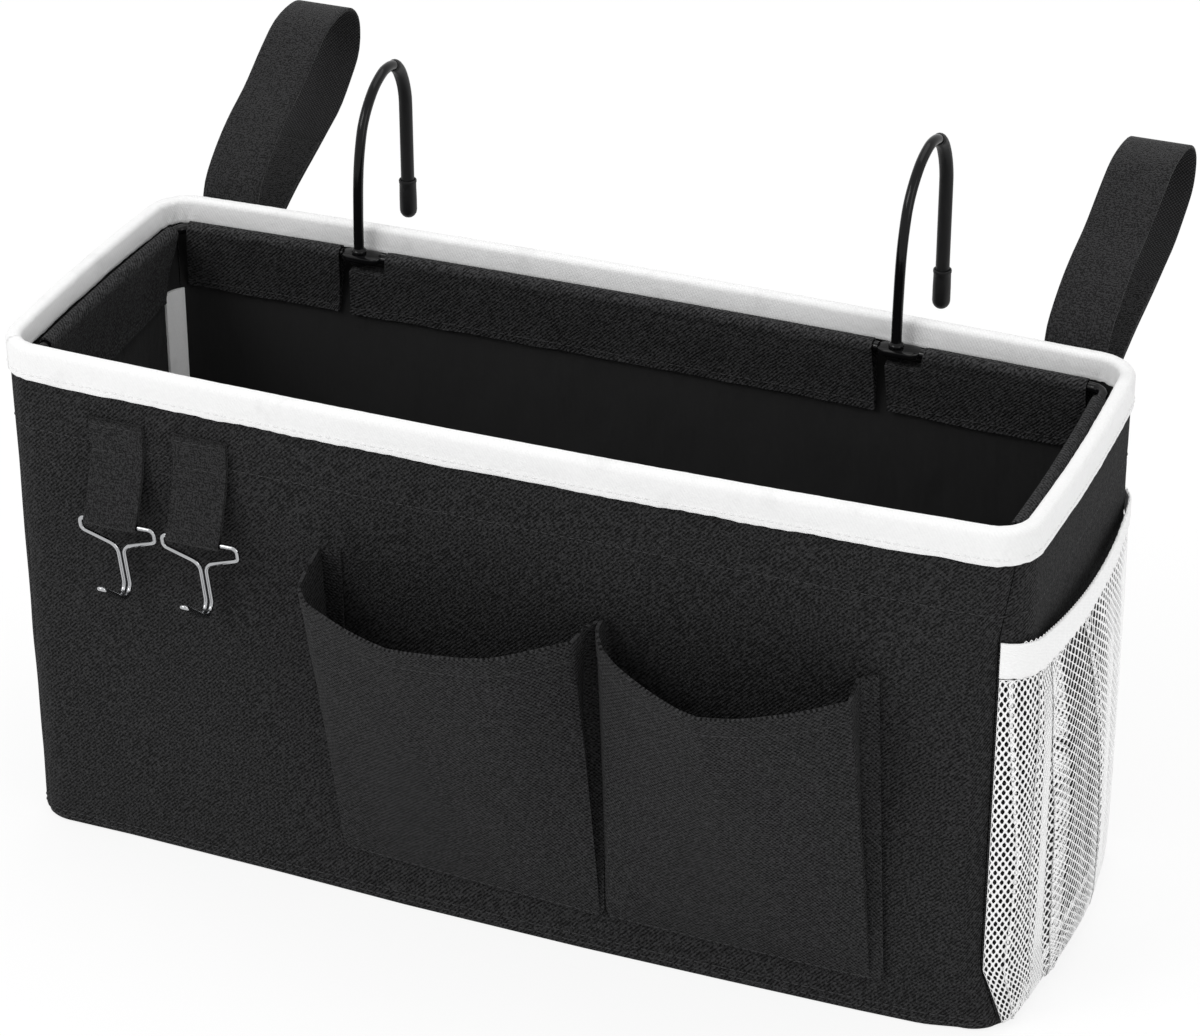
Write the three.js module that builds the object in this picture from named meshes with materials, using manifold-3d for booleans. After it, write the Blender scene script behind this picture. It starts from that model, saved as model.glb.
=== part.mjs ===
// Bedside caddy: a stiffened cloth box with a wire frame under its rim, two swivelling wire
// hooks and two strap loops behind it, two key hooks on webbing tabs, two front pockets and a
// net pocket on its right end.
// Millimetres. X is the length, Y points from the front to the back, Z is up, and the origin is
// the middle of the base's underside.
import * as THREE from 'three';
import { mergeVertices } from 'three/addons/utils/BufferGeometryUtils.js';
import Module from 'manifold-3d';

const wasm = await Module();
wasm.setup();

// Overall size
const rimLength = 400;
const rimDepth = 144;
const rimHeight = 209;
const baseLength = 397;
const cornerRadius = 16;
const longWallBow = 4;
const endWallBow = 1.5;
const bowStart = 60;

// Layers of a wall, from outside to inside
const shellCloth = 0.8;
const boardThickness = 2;
const liningCloth = 0.5;
const layerGap = 0.3;

// Rim binding
const bindingTape = 0.8;
const bindingOuterDrop = 13.5;
const bindingInnerDrop = 10;
const bindingRound = 2.2;

// Frame wire and its two flattened eyes
const frameRadius = 2;
const frameDrop = 10;
const frameInset = 10.5;
const hookSpacing = 219;
const hookShift = -2;
const eyeLength = 17.5;
const eyeWidth = 9;
const eyeThickness = 2.4;
const eyeShift = 1.4;

// Sleeves that carry the frame wire
const sleeveCloth = 0.8;
const sleeveHeight = 38;
const sleeveFoot = 1.7;
const sleeveCornerGap = 5;
const sleeveSlit = 5;
const leftSlitPlace = 6.3;
const rightSlitPlace = 3.9;
const eyeNotchDepth = 8.5;
const eyeNotchMargin = 1.2;

// Corner tapes over the inner seams
const seamTapeThickness = 1;
const seamTapeTurn = THREE.MathUtils.degToRad(25);

// Hooks
const hookRadius = 2;
const hookClearance = 0.08;
const stemStraight = 29;
const hookReach = 46.8;
const leftHookRise = 66.5;
const rightHookRise = 71.5;
const collarRadius = 2.9;
const collarHeight = 1.2;
const rivetRadius = 4.3;
const rivetHeight = 3;
const rearTipDrop = 12.5;
const rightHookTurn = THREE.MathUtils.degToRad(-3);

// Plastic sleeve and cap on a hook's rear leg
const legSleeveWall = 0.4;
const legSleeveClearance = 0.25;
const capRadius = 3.5;
const capLipRadius = 3.7;
const capLipHeight = 1.2;
const capLength = 16.5;
const capFloor = 2.6;

// Hook-and-loop straps behind the back wall
const strapWidth = 24;
const strapThickness = 1.3;
const strapEndMargin = 27.5;
const strapLoopLength = 99;
const leftStrapLoopHeight = 47;
const rightStrapLoopHeight = 43.5;
const strapFootLength = 10;
const strapFootDrop = 2;
const gripTapeDrop = 26;
const gripTapeLength = 61;
const rightStrapTurn = THREE.MathUtils.degToRad(2.6);

// Webbing tabs and key hooks
const tabWidth = 21.4;
const webbing = 1.1;
const tabFirstPlace = 52;
const tabSpacing = 34.5;
const tabTopDrop = 23;
const tabHeadHeight = 13;
const tabLoopLength = 25;
const tabLean = THREE.MathUtils.degToRad(20);
const keyWireRadius = 0.9;
const keyHookWidth = 32.6;
const keyArmDrop = 5.4;
const keyJunctionDrop = 10.6;
const keyLegDrop = 38;
const keyLegBack = 7.2;
const keyTipForward = 13.7;
const keyTipDrop = 20.8;
const keyLegSpacing = 2.4;
const keyArmBend = 2.2;
const keyJunctionBend = 5;
const keyBottomBend = 4;
const keyHookShift = 2.2;

// Front pockets
const pocketCloth = 1;
const pocketBulge = 41;
const pocketSeamGap = 0.6;
const pocketSpacing = 2.6;
const leftPocketPlace = 139;
const leftPocketWidth = 106;
const leftPocketMouthExtra = 2;
const leftPocketFootHeight = 18;
const leftPocketHeight = 129;
const rightPocketWidth = 107;
const rightPocketMouthExtra = -6;
const rightPocketFootHeight = 14;
const rightPocketHeight = 131;

// Net pocket
const netThickness = 0.8;
const netBottom = 2.5;
const netBulge = 9.5;
const netGatherDepth = 0.8;
const netGatherCount = 7;
const bandFrontTop = 165;
const bandBackTop = 158;
const bandFrontHeight = 14;
const bandBackHeight = 8;
const bandThickness = 1.2;
const bandBulge = 4.8;
const bandSag = 4;
const netSeamTurn = THREE.MathUtils.degToRad(42);

// Counts of steps along curves
const cornerSteps = 3;
const longWallSteps = 8;
const endWallSteps = 2;
const wireSides = 10;
const bendSteps = 5;

// Sizes worked out from the ones above
const bindingBuild = bindingTape + layerGap;
const shellTopHalf = rimLength / 2 - bindingBuild;
const shellBaseHalf = baseLength / 2;
const shellHalfDepth = rimDepth / 2 - bindingBuild;
const wallTop = rimHeight - bindingBuild;
const boardInset = shellCloth + layerGap;
const liningInset = boardInset + boardThickness + layerGap;
const wallThickness = liningInset + liningCloth;
const floorTop = wallThickness;
const frameZ = rimHeight - frameDrop;
const gapTurn = layerGap / 2 / (cornerRadius - wallThickness);
const seamTurn = Math.PI / 4 - gapTurn;

// Colours and finishes
function finish(colour, roughness, metalness = 0) {
  return { color: new THREE.Color(colour), roughness, metalness };
}
const blackCloth = finish(0x232325, 0.92);
const blackLining = finish(0x1b1b1c, 0.9);
const blackWebbing = finish(0x26262a, 0.9);
const whiteTape = finish(0xf0f0f0, 0.85);
const whiteNet = finish(0xf4f4f4, 0.8);
const greyBoard = finish(0x8a8478, 0.95);
const blackEnamel = finish(0x0b0b0c, 0.25, 0.3);
const mattBlackPlastic = finish(0x17171a, 0.6);
const polishedChrome = finish(0xd6d8dc, 0.12, 1);

const caddy = new THREE.Group();

function addPart(name, geometry, look) {
  const mesh = new THREE.Mesh(geometry, new THREE.MeshStandardMaterial(look));
  mesh.name = name;
  caddy.add(mesh);
  return mesh;
}

// Closed meshes from lists of points

function meshFrom(points, triangles) {
  const flat = points.flatMap((p) => [p.x, p.y, p.z]);
  let volume = 0;
  for (const [a, b, c] of triangles) {
    volume += points[a].dot(points[b].clone().cross(points[c]));
  }
  const ordered = volume < 0 ? triangles.map(([a, b, c]) => [a, c, b]) : triangles;
  const geometry = new THREE.BufferGeometry();
  geometry.setAttribute('position', new THREE.Float32BufferAttribute(flat, 3));
  geometry.setIndex(ordered.flat());
  geometry.computeVertexNormals();
  return geometry;
}

// Carries a closed outline, with holes if it has any, through a row of stations. The two ends
// are capped, or the last station joins the first. Every square is split from its near lower
// corner to its far upper one, so that neighbouring layers bend alike.
function sweep(stations, outline, place, { holes = [], closed = false } = {}) {
  const loops = [outline, ...holes];
  const ringSize = loops.reduce((sum, loop) => sum + loop.length, 0);
  const points = stations.flatMap((s) => loops.flat().map((q) => place(s, q)));
  const triangles = [];
  const spans = closed ? stations.length : stations.length - 1;
  for (let i = 0; i < spans; i++) {
    const near = i * ringSize;
    const far = ((i + 1) % stations.length) * ringSize;
    let start = 0;
    for (const loop of loops) {
      for (let j = 0; j < loop.length; j++) {
        const next = (j + 1) % loop.length;
        const rising = loop[next][1] >= loop[j][1];
        const [a, b] = rising ? [start + j, start + next] : [start + next, start + j];
        triangles.push([near + a, far + a, far + b], [near + a, far + b, near + b]);
      }
      start += loop.length;
    }
  }
  if (!closed) {
    const flatLoops = loops.map((loop) => loop.map((q) => new THREE.Vector2(q[0], q[1])));
    const capFaces = THREE.ShapeUtils.triangulateShape(flatLoops[0], flatLoops.slice(1));
    const last = (stations.length - 1) * ringSize;
    const outward = THREE.ShapeUtils.area(flatLoops[0]) > 0;
    for (const [a, b, c] of capFaces) {
      const [p, q] = outward ? [b, c] : [c, b];
      triangles.push([a, p, q], [last + a, last + q, last + p]);
    }
  }
  return meshFrom(points, consistent(triangles));
}

// Turns triangles so that neighbours agree on the direction of their shared edge
function consistent(triangles) {
  const edges = new Map();
  triangles.forEach((t, i) => {
    for (let k = 0; k < 3; k++) {
      const key = [t[k], t[(k + 1) % 3]].sort((a, b) => a - b).join('_');
      if (!edges.has(key)) edges.set(key, []);
      edges.get(key).push(i);
    }
  });
  const result = triangles.map((t) => [...t]);
  const seen = new Set([0]);
  const queue = [0];
  while (queue.length) {
    const i = queue.pop();
    const t = result[i];
    for (let k = 0; k < 3; k++) {
      const [a, b] = [t[k], t[(k + 1) % 3]];
      const key = [a, b].sort((x, y) => x - y).join('_');
      for (const n of edges.get(key)) {
        if (seen.has(n)) continue;
        const m = result[n];
        if (m.some((v, j) => v === a && m[(j + 1) % 3] === b)) m.reverse();
        seen.add(n);
        queue.push(n);
      }
    }
  }
  return result;
}

// A sheet of cloth with thickness: two grids of points, joined along their edges
function thickSheet(outer, inner) {
  const rows = outer.length;
  const columns = outer[0].length;
  const points = [...outer.flat(), ...inner.flat()];
  const behind = rows * columns;
  const at = (i, j) => i * columns + j;
  const triangles = [];
  for (let i = 0; i < rows - 1; i++) {
    for (let j = 0; j < columns - 1; j++) {
      const [a, b, c, d] = [at(i, j), at(i, j + 1), at(i + 1, j + 1), at(i + 1, j)];
      triangles.push([a, b, c], [a, c, d]);
      triangles.push([behind + a, behind + c, behind + b], [behind + a, behind + d, behind + c]);
    }
  }
  const border = [];
  for (let j = 0; j < columns - 1; j++) border.push([at(0, j), at(0, j + 1)]);
  for (let i = 0; i < rows - 1; i++) border.push([at(i, columns - 1), at(i + 1, columns - 1)]);
  for (let j = columns - 1; j > 0; j--) border.push([at(rows - 1, j), at(rows - 1, j - 1)]);
  for (let i = rows - 1; i > 0; i--) border.push([at(i, 0), at(i - 1, 0)]);
  for (const [a, b] of border) {
    triangles.push([a, behind + a, behind + b], [a, behind + b, b]);
  }
  return meshFrom(points, triangles);
}

// Joins and cuts

function solidOf(geometry) {
  const bare = geometry.clone();
  bare.deleteAttribute('normal');
  bare.deleteAttribute('uv');
  const merged = mergeVertices(bare);
  return new wasm.Manifold(new wasm.Mesh({
    numProp: 3,
    vertProperties: new Float32Array(merged.attributes.position.array),
    triVerts: new Uint32Array(merged.index.array),
  }));
}

function geometryOf(solid) {
  const mesh = solid.getMesh();
  const geometry = new THREE.BufferGeometry();
  geometry.setAttribute('position', new THREE.Float32BufferAttribute(mesh.vertProperties, 3));
  geometry.setIndex(Array.from(mesh.triVerts));
  geometry.computeVertexNormals();
  return geometry;
}

// The box's plan. Each wall has a direction that it faces, and a station says how far along the
// wall a point is: a share of its straight half, then a turn into the corner.
const walls = {
  front: { turned: 0, long: true },
  right: { turned: 1, long: false },
  back: { turned: 2, long: true },
  left: { turned: 3, long: false },
};

function halfLengthAt(z) {
  return shellBaseHalf + (shellTopHalf - shellBaseHalf) * (z / wallTop);
}

function straightHalf(wall, z) {
  return (wall.long ? halfLengthAt(z) : shellHalfDepth) - cornerRadius;
}

function bowOut(wall, share, z) {
  const climb = Math.max(0, (z - bowStart) / (wallTop - bowStart));
  const most = wall.long ? longWallBow : endWallBow;
  return most * climb * climb * (1 - share * share);
}

// Point on a wall at a station, height and inset from the shell's outer face
function onWall(wall, station, inset, z) {
  const arm = cornerRadius - inset;
  const along = station.share * straightHalf(wall, z)
    + Math.sign(station.share) * arm * Math.sin(station.turn);
  const awayHalf = wall.long ? shellHalfDepth : halfLengthAt(z);
  const away = awayHalf - cornerRadius + arm * Math.cos(station.turn)
    + bowOut(wall, station.share, z);
  const point = new THREE.Vector3(along, -away, z);
  return point.applyAxisAngle(new THREE.Vector3(0, 0, 1), wall.turned * Math.PI / 2);
}

function wallStations(wall, from, to, turn = 0) {
  const steps = wall.long ? longWallSteps : endWallSteps;
  const stations = [];
  if (turn > 0) {
    for (let i = 0; i < cornerSteps; i++) {
      stations.push({ wall, share: from, turn: turn * (1 - i / cornerSteps) });
    }
  }
  for (let i = 0; i <= steps; i++) {
    stations.push({ wall, share: from + (to - from) * (i / steps), turn: 0 });
  }
  if (turn > 0) {
    for (let i = 1; i <= cornerSteps; i++) {
      stations.push({ wall, share: to, turn: turn * (i / cornerSteps) });
    }
  }
  return stations;
}

function placeOnWall(station, [inset, z]) {
  return onWall(station.wall, station, inset, z);
}

// Heights at which a tall layer has a row of points, the same in every layer
function heightRows(low, high) {
  const rowShares = [0, 0.3, 0.55, 0.75, 0.9];
  const between = rowShares.map((s) => bowStart + (wallTop - bowStart) * s);
  return [low, ...between.filter((z) => z > low && z < high), high];
}

function layerSection(outerInset, innerInset, low, high) {
  const rows = heightRows(low, high);
  const outer = rows.map((z) => [outerInset, z]);
  const inner = [...rows].reverse().map((z) => [innerInset, z]);
  return [...outer, ...inner];
}

// Share of a wall's straight half at a distance from its middle, along the wall's own direction
function shareAt(wall, distance, z) {
  return distance / straightHalf(wall, z);
}

// Shell, boards and lining of the four walls
function addWalls() {
  const shell = layerSection(0, shellCloth, 0, wallTop);
  const boardLow = floorTop + layerGap;
  const boardTop = wallTop - layerGap;
  const board = layerSection(boardInset, boardInset + boardThickness, boardLow, boardTop);
  const lining = layerSection(liningInset, wallThickness, boardLow, wallTop);
  for (const [name, wall] of Object.entries(walls)) {
    const wide = wallStations(wall, -1, 1, seamTurn);
    addPart(`${name}_panel`, sweep(wide, shell, placeOnWall), blackCloth);
    addPart(`${name}_board`, sweep(wallStations(wall, -1, 1), board, placeOnWall), greyBoard);
    addPart(`${name}_lining`, sweep(wide, lining, placeOnWall), blackLining);
  }
}

// Round-cornered plate that fills the box's plan between two heights
function floorPlate(inset, low, high) {
  const shape = new THREE.Shape();
  const ring = ringStations().map((s) => onWall(s.wall, s, inset, 0));
  ring.forEach((p, i) => (i ? shape.lineTo(p.x, p.y) : shape.moveTo(p.x, p.y)));
  const plate = new THREE.ExtrudeGeometry(shape, { depth: high - low, bevelEnabled: false });
  return plate.translate(0, 0, low);
}

function addFloor() {
  const inset = shellCloth + layerGap;
  const boardLow = shellCloth + layerGap;
  const boardHigh = boardLow + boardThickness;
  const liningLow = boardHigh + layerGap;
  addPart('base_panel', floorPlate(inset, 0, shellCloth), blackCloth);
  addPart('base_board', floorPlate(inset, boardLow, boardHigh), greyBoard);
  addPart('base_lining', floorPlate(inset, liningLow, floorTop), blackLining);
}

// Stations all the way round the box, corner turns included
function ringStations() {
  return Object.values(walls).flatMap((wall) => {
    const stations = wallStations(wall, -1, 1, Math.PI / 4);
    return stations.slice(0, -1);
  });
}

// White tape folded over the top of all four walls
function addBinding() {
  const outer = -bindingBuild;
  const outerBack = -layerGap;
  const innerBack = wallThickness + layerGap;
  const inner = innerBack + bindingTape;
  const outerFoot = rimHeight - bindingOuterDrop;
  const innerFoot = rimHeight - bindingInnerDrop;
  const underside = rimHeight - bindingTape;
  const roundShare = 1 - Math.SQRT1_2;
  const eased = bindingRound * roundShare;
  const section = [
    [outer, outerFoot],
    [outer, rimHeight - bindingRound],
    [outer + eased, rimHeight - eased],
    [outer + bindingRound, rimHeight],
    [inner - bindingRound, rimHeight],
    [inner - eased, rimHeight - eased],
    [inner, rimHeight - bindingRound],
    [inner, innerFoot],
    [innerBack, innerFoot],
    [innerBack, underside],
    [outerBack, underside],
    [outerBack, outerFoot],
  ];
  const geometry = sweep(ringStations(), section, placeOnWall, { closed: true });
  addPart('rim_binding', geometry, whiteTape);
}

// Where a hook stands on the frame wire
function hookPlace(side) {
  const wall = walls.back;
  const share = shareAt(wall, -hookShift - side * hookSpacing / 2, frameZ);
  return onWall(wall, { share, turn: 0 }, frameInset, frameZ);
}

function circleSection(centreInset, centreZ, radius, sides) {
  return Array.from({ length: sides }, (_, i) => {
    const angle = (2 * Math.PI * i) / sides;
    return [centreInset + radius * Math.cos(angle), centreZ + radius * Math.sin(angle)];
  });
}

function stadium(length, width) {
  const shape = new THREE.Shape();
  const reach = (length - width) / 2;
  shape.absarc(reach, 0, width / 2, -Math.PI / 2, Math.PI / 2);
  shape.absarc(-reach, 0, width / 2, Math.PI / 2, 3 * Math.PI / 2);
  return shape;
}

// Frame: a wire ring under the rim, flattened to an eye at each hook
function addFrame() {
  const section = circleSection(frameInset, frameZ, frameRadius, wireSides);
  const ring = sweep(ringStations(), section, placeOnWall, { closed: true });
  let frame = solidOf(ring);
  for (const side of [-1, 1]) {
    const place = hookPlace(side);
    const bareLength = eyeLength - 2 * frameRadius;
    const block = new THREE.BoxGeometry(bareLength, eyeWidth, 3 * frameRadius);
    block.translate(place.x + eyeShift, place.y, place.z);
    const plateShape = stadium(eyeLength, eyeWidth);
    const hole = new THREE.Path().absarc(-eyeShift, 0, hookRadius + hookClearance, 0, 2 * Math.PI, true);
    plateShape.holes.push(hole);
    const plate = new THREE.ExtrudeGeometry(plateShape, {
      depth: eyeThickness,
      bevelEnabled: false,
      curveSegments: 2 * bendSteps,
    });
    plate.translate(place.x + eyeShift, place.y, place.z - eyeThickness / 2);
    frame = frame.subtract(solidOf(block)).add(solidOf(plate));
  }
  addPart('frame_wire', geometryOf(frame), blackEnamel);
}

// Section of a sleeve: a flat double band below, and a channel round the wire above
function sleeveSection() {
  const back = wallThickness + layerGap;
  const foot = frameZ + frameDrop - sleeveHeight;
  const channel = frameRadius + layerGap + sleeveCloth;
  const wallReach = rimHeight - bindingInnerDrop - layerGap;
  const underBinding = back + bindingTape + layerGap;
  const arcTurns = [150, 115, 80, 45, 10, -25, -55].map(THREE.MathUtils.degToRad);
  const arc = arcTurns.map((a) => [
    frameInset + channel * Math.cos(a),
    frameZ + channel * Math.sin(a),
  ]);
  const waistDropShare = 0.45;
  const waistInsetShare = 0.4;
  const waistZ = frameZ - (frameZ - foot) * waistDropShare;
  const waist = back + sleeveFoot + (frameInset - back - sleeveFoot) * waistInsetShare;
  return [
    [back, foot],
    [back, wallReach],
    [underBinding, wallReach],
    ...arc,
    [waist, waistZ],
    [back + sleeveFoot, foot],
  ];
}

function addSleeve(name, wall, from, to, notchAt) {
  const channelHole = circleSection(frameInset, frameZ, frameRadius + layerGap, wireSides);
  const stations = wallStations(wall, from, to);
  let geometry = sweep(stations, sleeveSection(), placeOnWall, { holes: [channelHole] });
  if (notchAt) {
    const width = eyeLength + 2 * eyeNotchMargin + sleeveSlit;
    const depth = 2 * frameInset;
    const height = 2 * eyeNotchDepth;
    const notch = new THREE.BoxGeometry(width, depth, height);
    notch.translate(notchAt.x + eyeShift - sleeveSlit / 2, notchAt.y, notchAt.z);
    geometry = geometryOf(solidOf(geometry).subtract(solidOf(notch)));
  }
  addPart(name, geometry, blackCloth);
}

function addSleeves() {
  const endShare = (wall) => 1 - sleeveCornerGap / straightHalf(wall, frameZ);
  for (const name of ['front', 'left', 'right']) {
    const wall = walls[name];
    addSleeve(`${name}_sleeve`, wall, -endShare(wall), endShare(wall));
  }
  const wall = walls.back;
  const shareOf = (x) => shareAt(wall, -x, frameZ);
  const leftHook = hookPlace(-1);
  const rightHook = hookPlace(1);
  const leftSlit = leftHook.x - leftSlitPlace;
  const rightSlit = rightHook.x - rightSlitPlace;
  const end = endShare(wall);
  addSleeve('back_sleeve_left', wall, shareOf(leftSlit - sleeveSlit), end);
  addSleeve('back_sleeve_middle', wall, shareOf(rightSlit - sleeveSlit), shareOf(leftSlit), leftHook);
  addSleeve('back_sleeve_right', wall, -end, shareOf(rightSlit), rightHook);
}

// Tape over the seam in each inner corner, from the floor up to the sleeves
function addSeamTapes() {
  const inset = wallThickness + layerGap;
  const low = floorTop + layerGap;
  const high = rimHeight - sleeveHeight - layerGap;
  const section = layerSection(inset, inset + seamTapeThickness, low, high);
  const names = Object.keys(walls);
  names.forEach((name, i) => {
    const next = names[(i + 1) % names.length];
    const middle = Math.PI / 4;
    const before = [1, 0.5].map((s) => ({
      wall: walls[name], share: 1, turn: middle - seamTapeTurn * s,
    }));
    const after = [0, 0.5, 1].map((s) => ({
      wall: walls[next], share: -1, turn: middle - seamTapeTurn * s,
    }));
    const stations = [...before, ...after];
    addPart(`seam_tape_${name}_${next}`, sweep(stations, section, placeOnWall), whiteTape);
  });
}

// A curve through a list of points, whose rings lie at the points themselves
class BentWire extends THREE.Curve {
  constructor(points) {
    super();
    this.points = points;
  }

  getPoint(t) {
    const last = this.points.length - 1;
    const at = Math.min(Math.max(t, 0), 1) * last;
    const i = Math.min(Math.floor(at), last - 1);
    return this.points[i].clone().lerp(this.points[i + 1], at - i);
  }

  getPointAt(u) {
    return this.getPoint(u);
  }

  getTangentAt(u) {
    const last = this.points.length - 1;
    const i = Math.round(u * last);
    const before = this.points[Math.max(i - 1, 0)];
    const after = this.points[Math.min(i + 1, last)];
    return after.clone().sub(before).normalize();
  }
}

function ringShape(outerRadius, innerRadius = 0) {
  const shape = new THREE.Shape(circlePoints(outerRadius));
  if (innerRadius > 0) shape.holes.push(new THREE.Path(circlePoints(innerRadius)));
  return shape;
}

function circlePoints(radius) {
  return Array.from({ length: wireSides }, (_, i) => {
    const angle = (2 * Math.PI * i) / wireSides;
    return new THREE.Vector2(radius * Math.cos(angle), radius * Math.sin(angle));
  });
}

function wireAlong(points, shape) {
  const path = new BentWire(points);
  return new THREE.ExtrudeGeometry(shape, {
    steps: points.length - 1,
    extrudePath: path,
    curveSegments: 1,
  });
}

// Rounds each inner corner of a line of points to its own radius
function roundedLine(corners) {
  const points = [corners[0].at];
  for (let i = 1; i < corners.length - 1; i++) {
    const { at, radius } = corners[i];
    const back = corners[i - 1].at.clone().sub(at).normalize();
    const ahead = corners[i + 1].at.clone().sub(at).normalize();
    const half = back.angleTo(ahead) / 2;
    const middle = back.clone().add(ahead).normalize();
    const centre = at.clone().addScaledVector(middle, radius / Math.sin(half));
    const start = at.clone().addScaledVector(back, radius / Math.tan(half)).sub(centre);
    const end = at.clone().addScaledVector(ahead, radius / Math.tan(half)).sub(centre);
    const axis = start.clone().cross(end).normalize();
    const sweepAngle = start.angleTo(end);
    for (let k = 0; k <= bendSteps; k++) {
      const arm = start.clone().applyAxisAngle(axis, sweepAngle * (k / bendSteps));
      points.push(centre.clone().add(arm));
    }
  }
  points.push(corners[corners.length - 1].at);
  return points;
}

// Arch of a hook. Each pair gives a share of its reach behind the stem and of its rise above
// the frame.
const hookArchShares = [
  [0, 0.436], [0.038, 0.545], [0.085, 0.665], [0.148, 0.775], [0.245, 0.866], [0.385, 0.947],
  [0.54, 0.992], [0.665, 1], [0.79, 0.978], [0.885, 0.92], [0.955, 0.83], [0.993, 0.735],
  [1, 0.65],
];
const hookArchSteps = 24;
const legSleeveStartShare = 0.66;

// Hook, drawn with its stem on the Z axis and its rear leg towards +Y
function hookArch(rise) {
  const points = hookArchShares.map(([reach, height]) => {
    return new THREE.Vector2(reach * hookReach, frameZ + height * rise);
  });
  const line = new THREE.SplineCurve(points).getPoints(hookArchSteps);
  return line.map((p) => new THREE.Vector3(0, p.x, p.y));
}

function addHook(side, name, rise, turn) {
  const stemFoot = frameZ - eyeThickness / 2 - layerGap;
  const arch = hookArch(rise);
  const tip = new THREE.Vector3(0, hookReach, rimHeight - rearTipDrop);
  const legFoot = tip.clone();
  legFoot.z += capFloor + layerGap;
  const route = [new THREE.Vector3(0, 0, stemFoot), ...arch, legFoot];
  const wire = wireAlong(route, ringShape(hookRadius));
  const collar = new THREE.CylinderGeometry(collarRadius, collarRadius, collarHeight, 2 * wireSides);
  collar.rotateX(Math.PI / 2);
  const collarLow = frameZ + eyeThickness / 2 + layerGap;
  collar.translate(0, 0, collarLow + collarHeight / 2);
  const rivet = rivetHead(stemFoot);
  const hook = solidOf(wire).add(solidOf(collar)).add(solidOf(rivet));
  const sleeveRoute = [...arch.slice(Math.round(hookArchSteps * legSleeveStartShare)), legFoot];
  const sleeveInner = hookRadius + legSleeveClearance;
  const sleeveOuter = sleeveInner + legSleeveWall;
  const legSleeve = wireAlong(sleeveRoute, ringShape(sleeveOuter, sleeveInner));
  const cap = tipCap(sleeveOuter + legSleeveClearance);
  cap.translate(tip.x, tip.y, tip.z);
  const parts = [
    addPart(`hook_${name}`, geometryOf(hook), blackEnamel),
    addPart(`hook_sleeve_${name}`, legSleeve, mattBlackPlastic),
    addPart(`hook_cap_${name}`, cap, mattBlackPlastic),
  ];
  const place = hookPlace(side);
  for (const part of parts) {
    part.position.set(place.x, place.y, 0);
    part.rotation.z = turn;
  }
}

// Head that closes the stem's foot under the eye
function rivetHead(top) {
  const profile = [new THREE.Vector2(0, top - rivetHeight)];
  for (let i = 1; i <= bendSteps; i++) {
    const angle = (Math.PI / 2) * (i / bendSteps);
    profile.push(new THREE.Vector2(
      rivetRadius * Math.sin(angle),
      top - rivetHeight * Math.cos(angle),
    ));
  }
  profile.push(new THREE.Vector2(0, top));
  return new THREE.LatheGeometry(profile, 2 * wireSides).rotateX(Math.PI / 2);
}

// Cap with a round end, a blind bore and a lip round its mouth
function tipCap(boreRadius) {
  const profile = [new THREE.Vector2(0, 0)];
  for (let i = 1; i <= bendSteps; i++) {
    const angle = (Math.PI / 2) * (i / bendSteps);
    profile.push(new THREE.Vector2(
      capRadius * Math.sin(angle),
      capRadius * (1 - Math.cos(angle)),
    ));
  }
  profile.push(
    new THREE.Vector2(capRadius, capLength - capLipHeight),
    new THREE.Vector2(capLipRadius, capLength - capLipHeight),
    new THREE.Vector2(capLipRadius, capLength),
    new THREE.Vector2(boreRadius, capLength),
    new THREE.Vector2(boreRadius, capFloor),
    new THREE.Vector2(0, capFloor),
  );
  return new THREE.LatheGeometry(profile, 2 * wireSides).rotateX(Math.PI / 2);
}

// Line in the Y-Z plane moved sideways, to its left as it runs
function besideLine(line, distance) {
  return line.map((p, i) => {
    const before = line[Math.max(i - 1, 0)];
    const after = line[Math.min(i + 1, line.length - 1)];
    const along = after.clone().sub(before).normalize();
    return p.clone().addScaledVector(new THREE.Vector2(-along.y, along.x), distance);
  });
}

// Flat band of constant thickness along such a line, level along X, and led off to the side
// behind the rim when it has a turn
function flatBand(line, thickness, width, turn) {
  const half = thickness / 2;
  const outline = [...besideLine(line, half), ...besideLine(line, -half).reverse()];
  const start = line[0].x;
  const place = (x, [y, z]) => {
    return new THREE.Vector3(x + Math.max(0, y - start - thickness) * Math.tan(turn), y, z);
  };
  return sweep([-width / 2, width / 2], outline.map((p) => [p.x, p.y]), place);
}

// Strap loop: a long strap out from the rim and back, and a short grip tape that it closes on.
// Each pair gives a share of the loop's reach behind the rim and of its rise above it.
const strapLoopShares = [
  [0.038, 0.115], [0.1475, 0.3085], [0.267, 0.468], [0.399, 0.606], [0.506, 0.743],
  [0.574, 0.826], [0.694, 0.953], [0.812, 0.996], [0.916, 0.977], [0.976, 0.88], [0.999, 0.74],
  [0.981, 0.526], [0.907, 0.355], [0.793, 0.17], [0.656, 0.057], [0.492, -0.081],
  [0.371, -0.189], [0.256, -0.304], [0.142, -0.409],
];
const strapLineSteps = 48;
const gripTapeStepShare = 0.22;

// Line of a strap: straight up its sewn foot, then a smooth curve through the other points
function strapLine(y, top, points, steps) {
  const footEnd = new THREE.Vector2(y, top);
  const foot = [0, 0.5].map((s) => new THREE.Vector2(y, top - strapFootLength * (1 - s)));
  return [...foot, ...new THREE.SplineCurve([footEnd, ...points]).getPoints(steps)];
}

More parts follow.
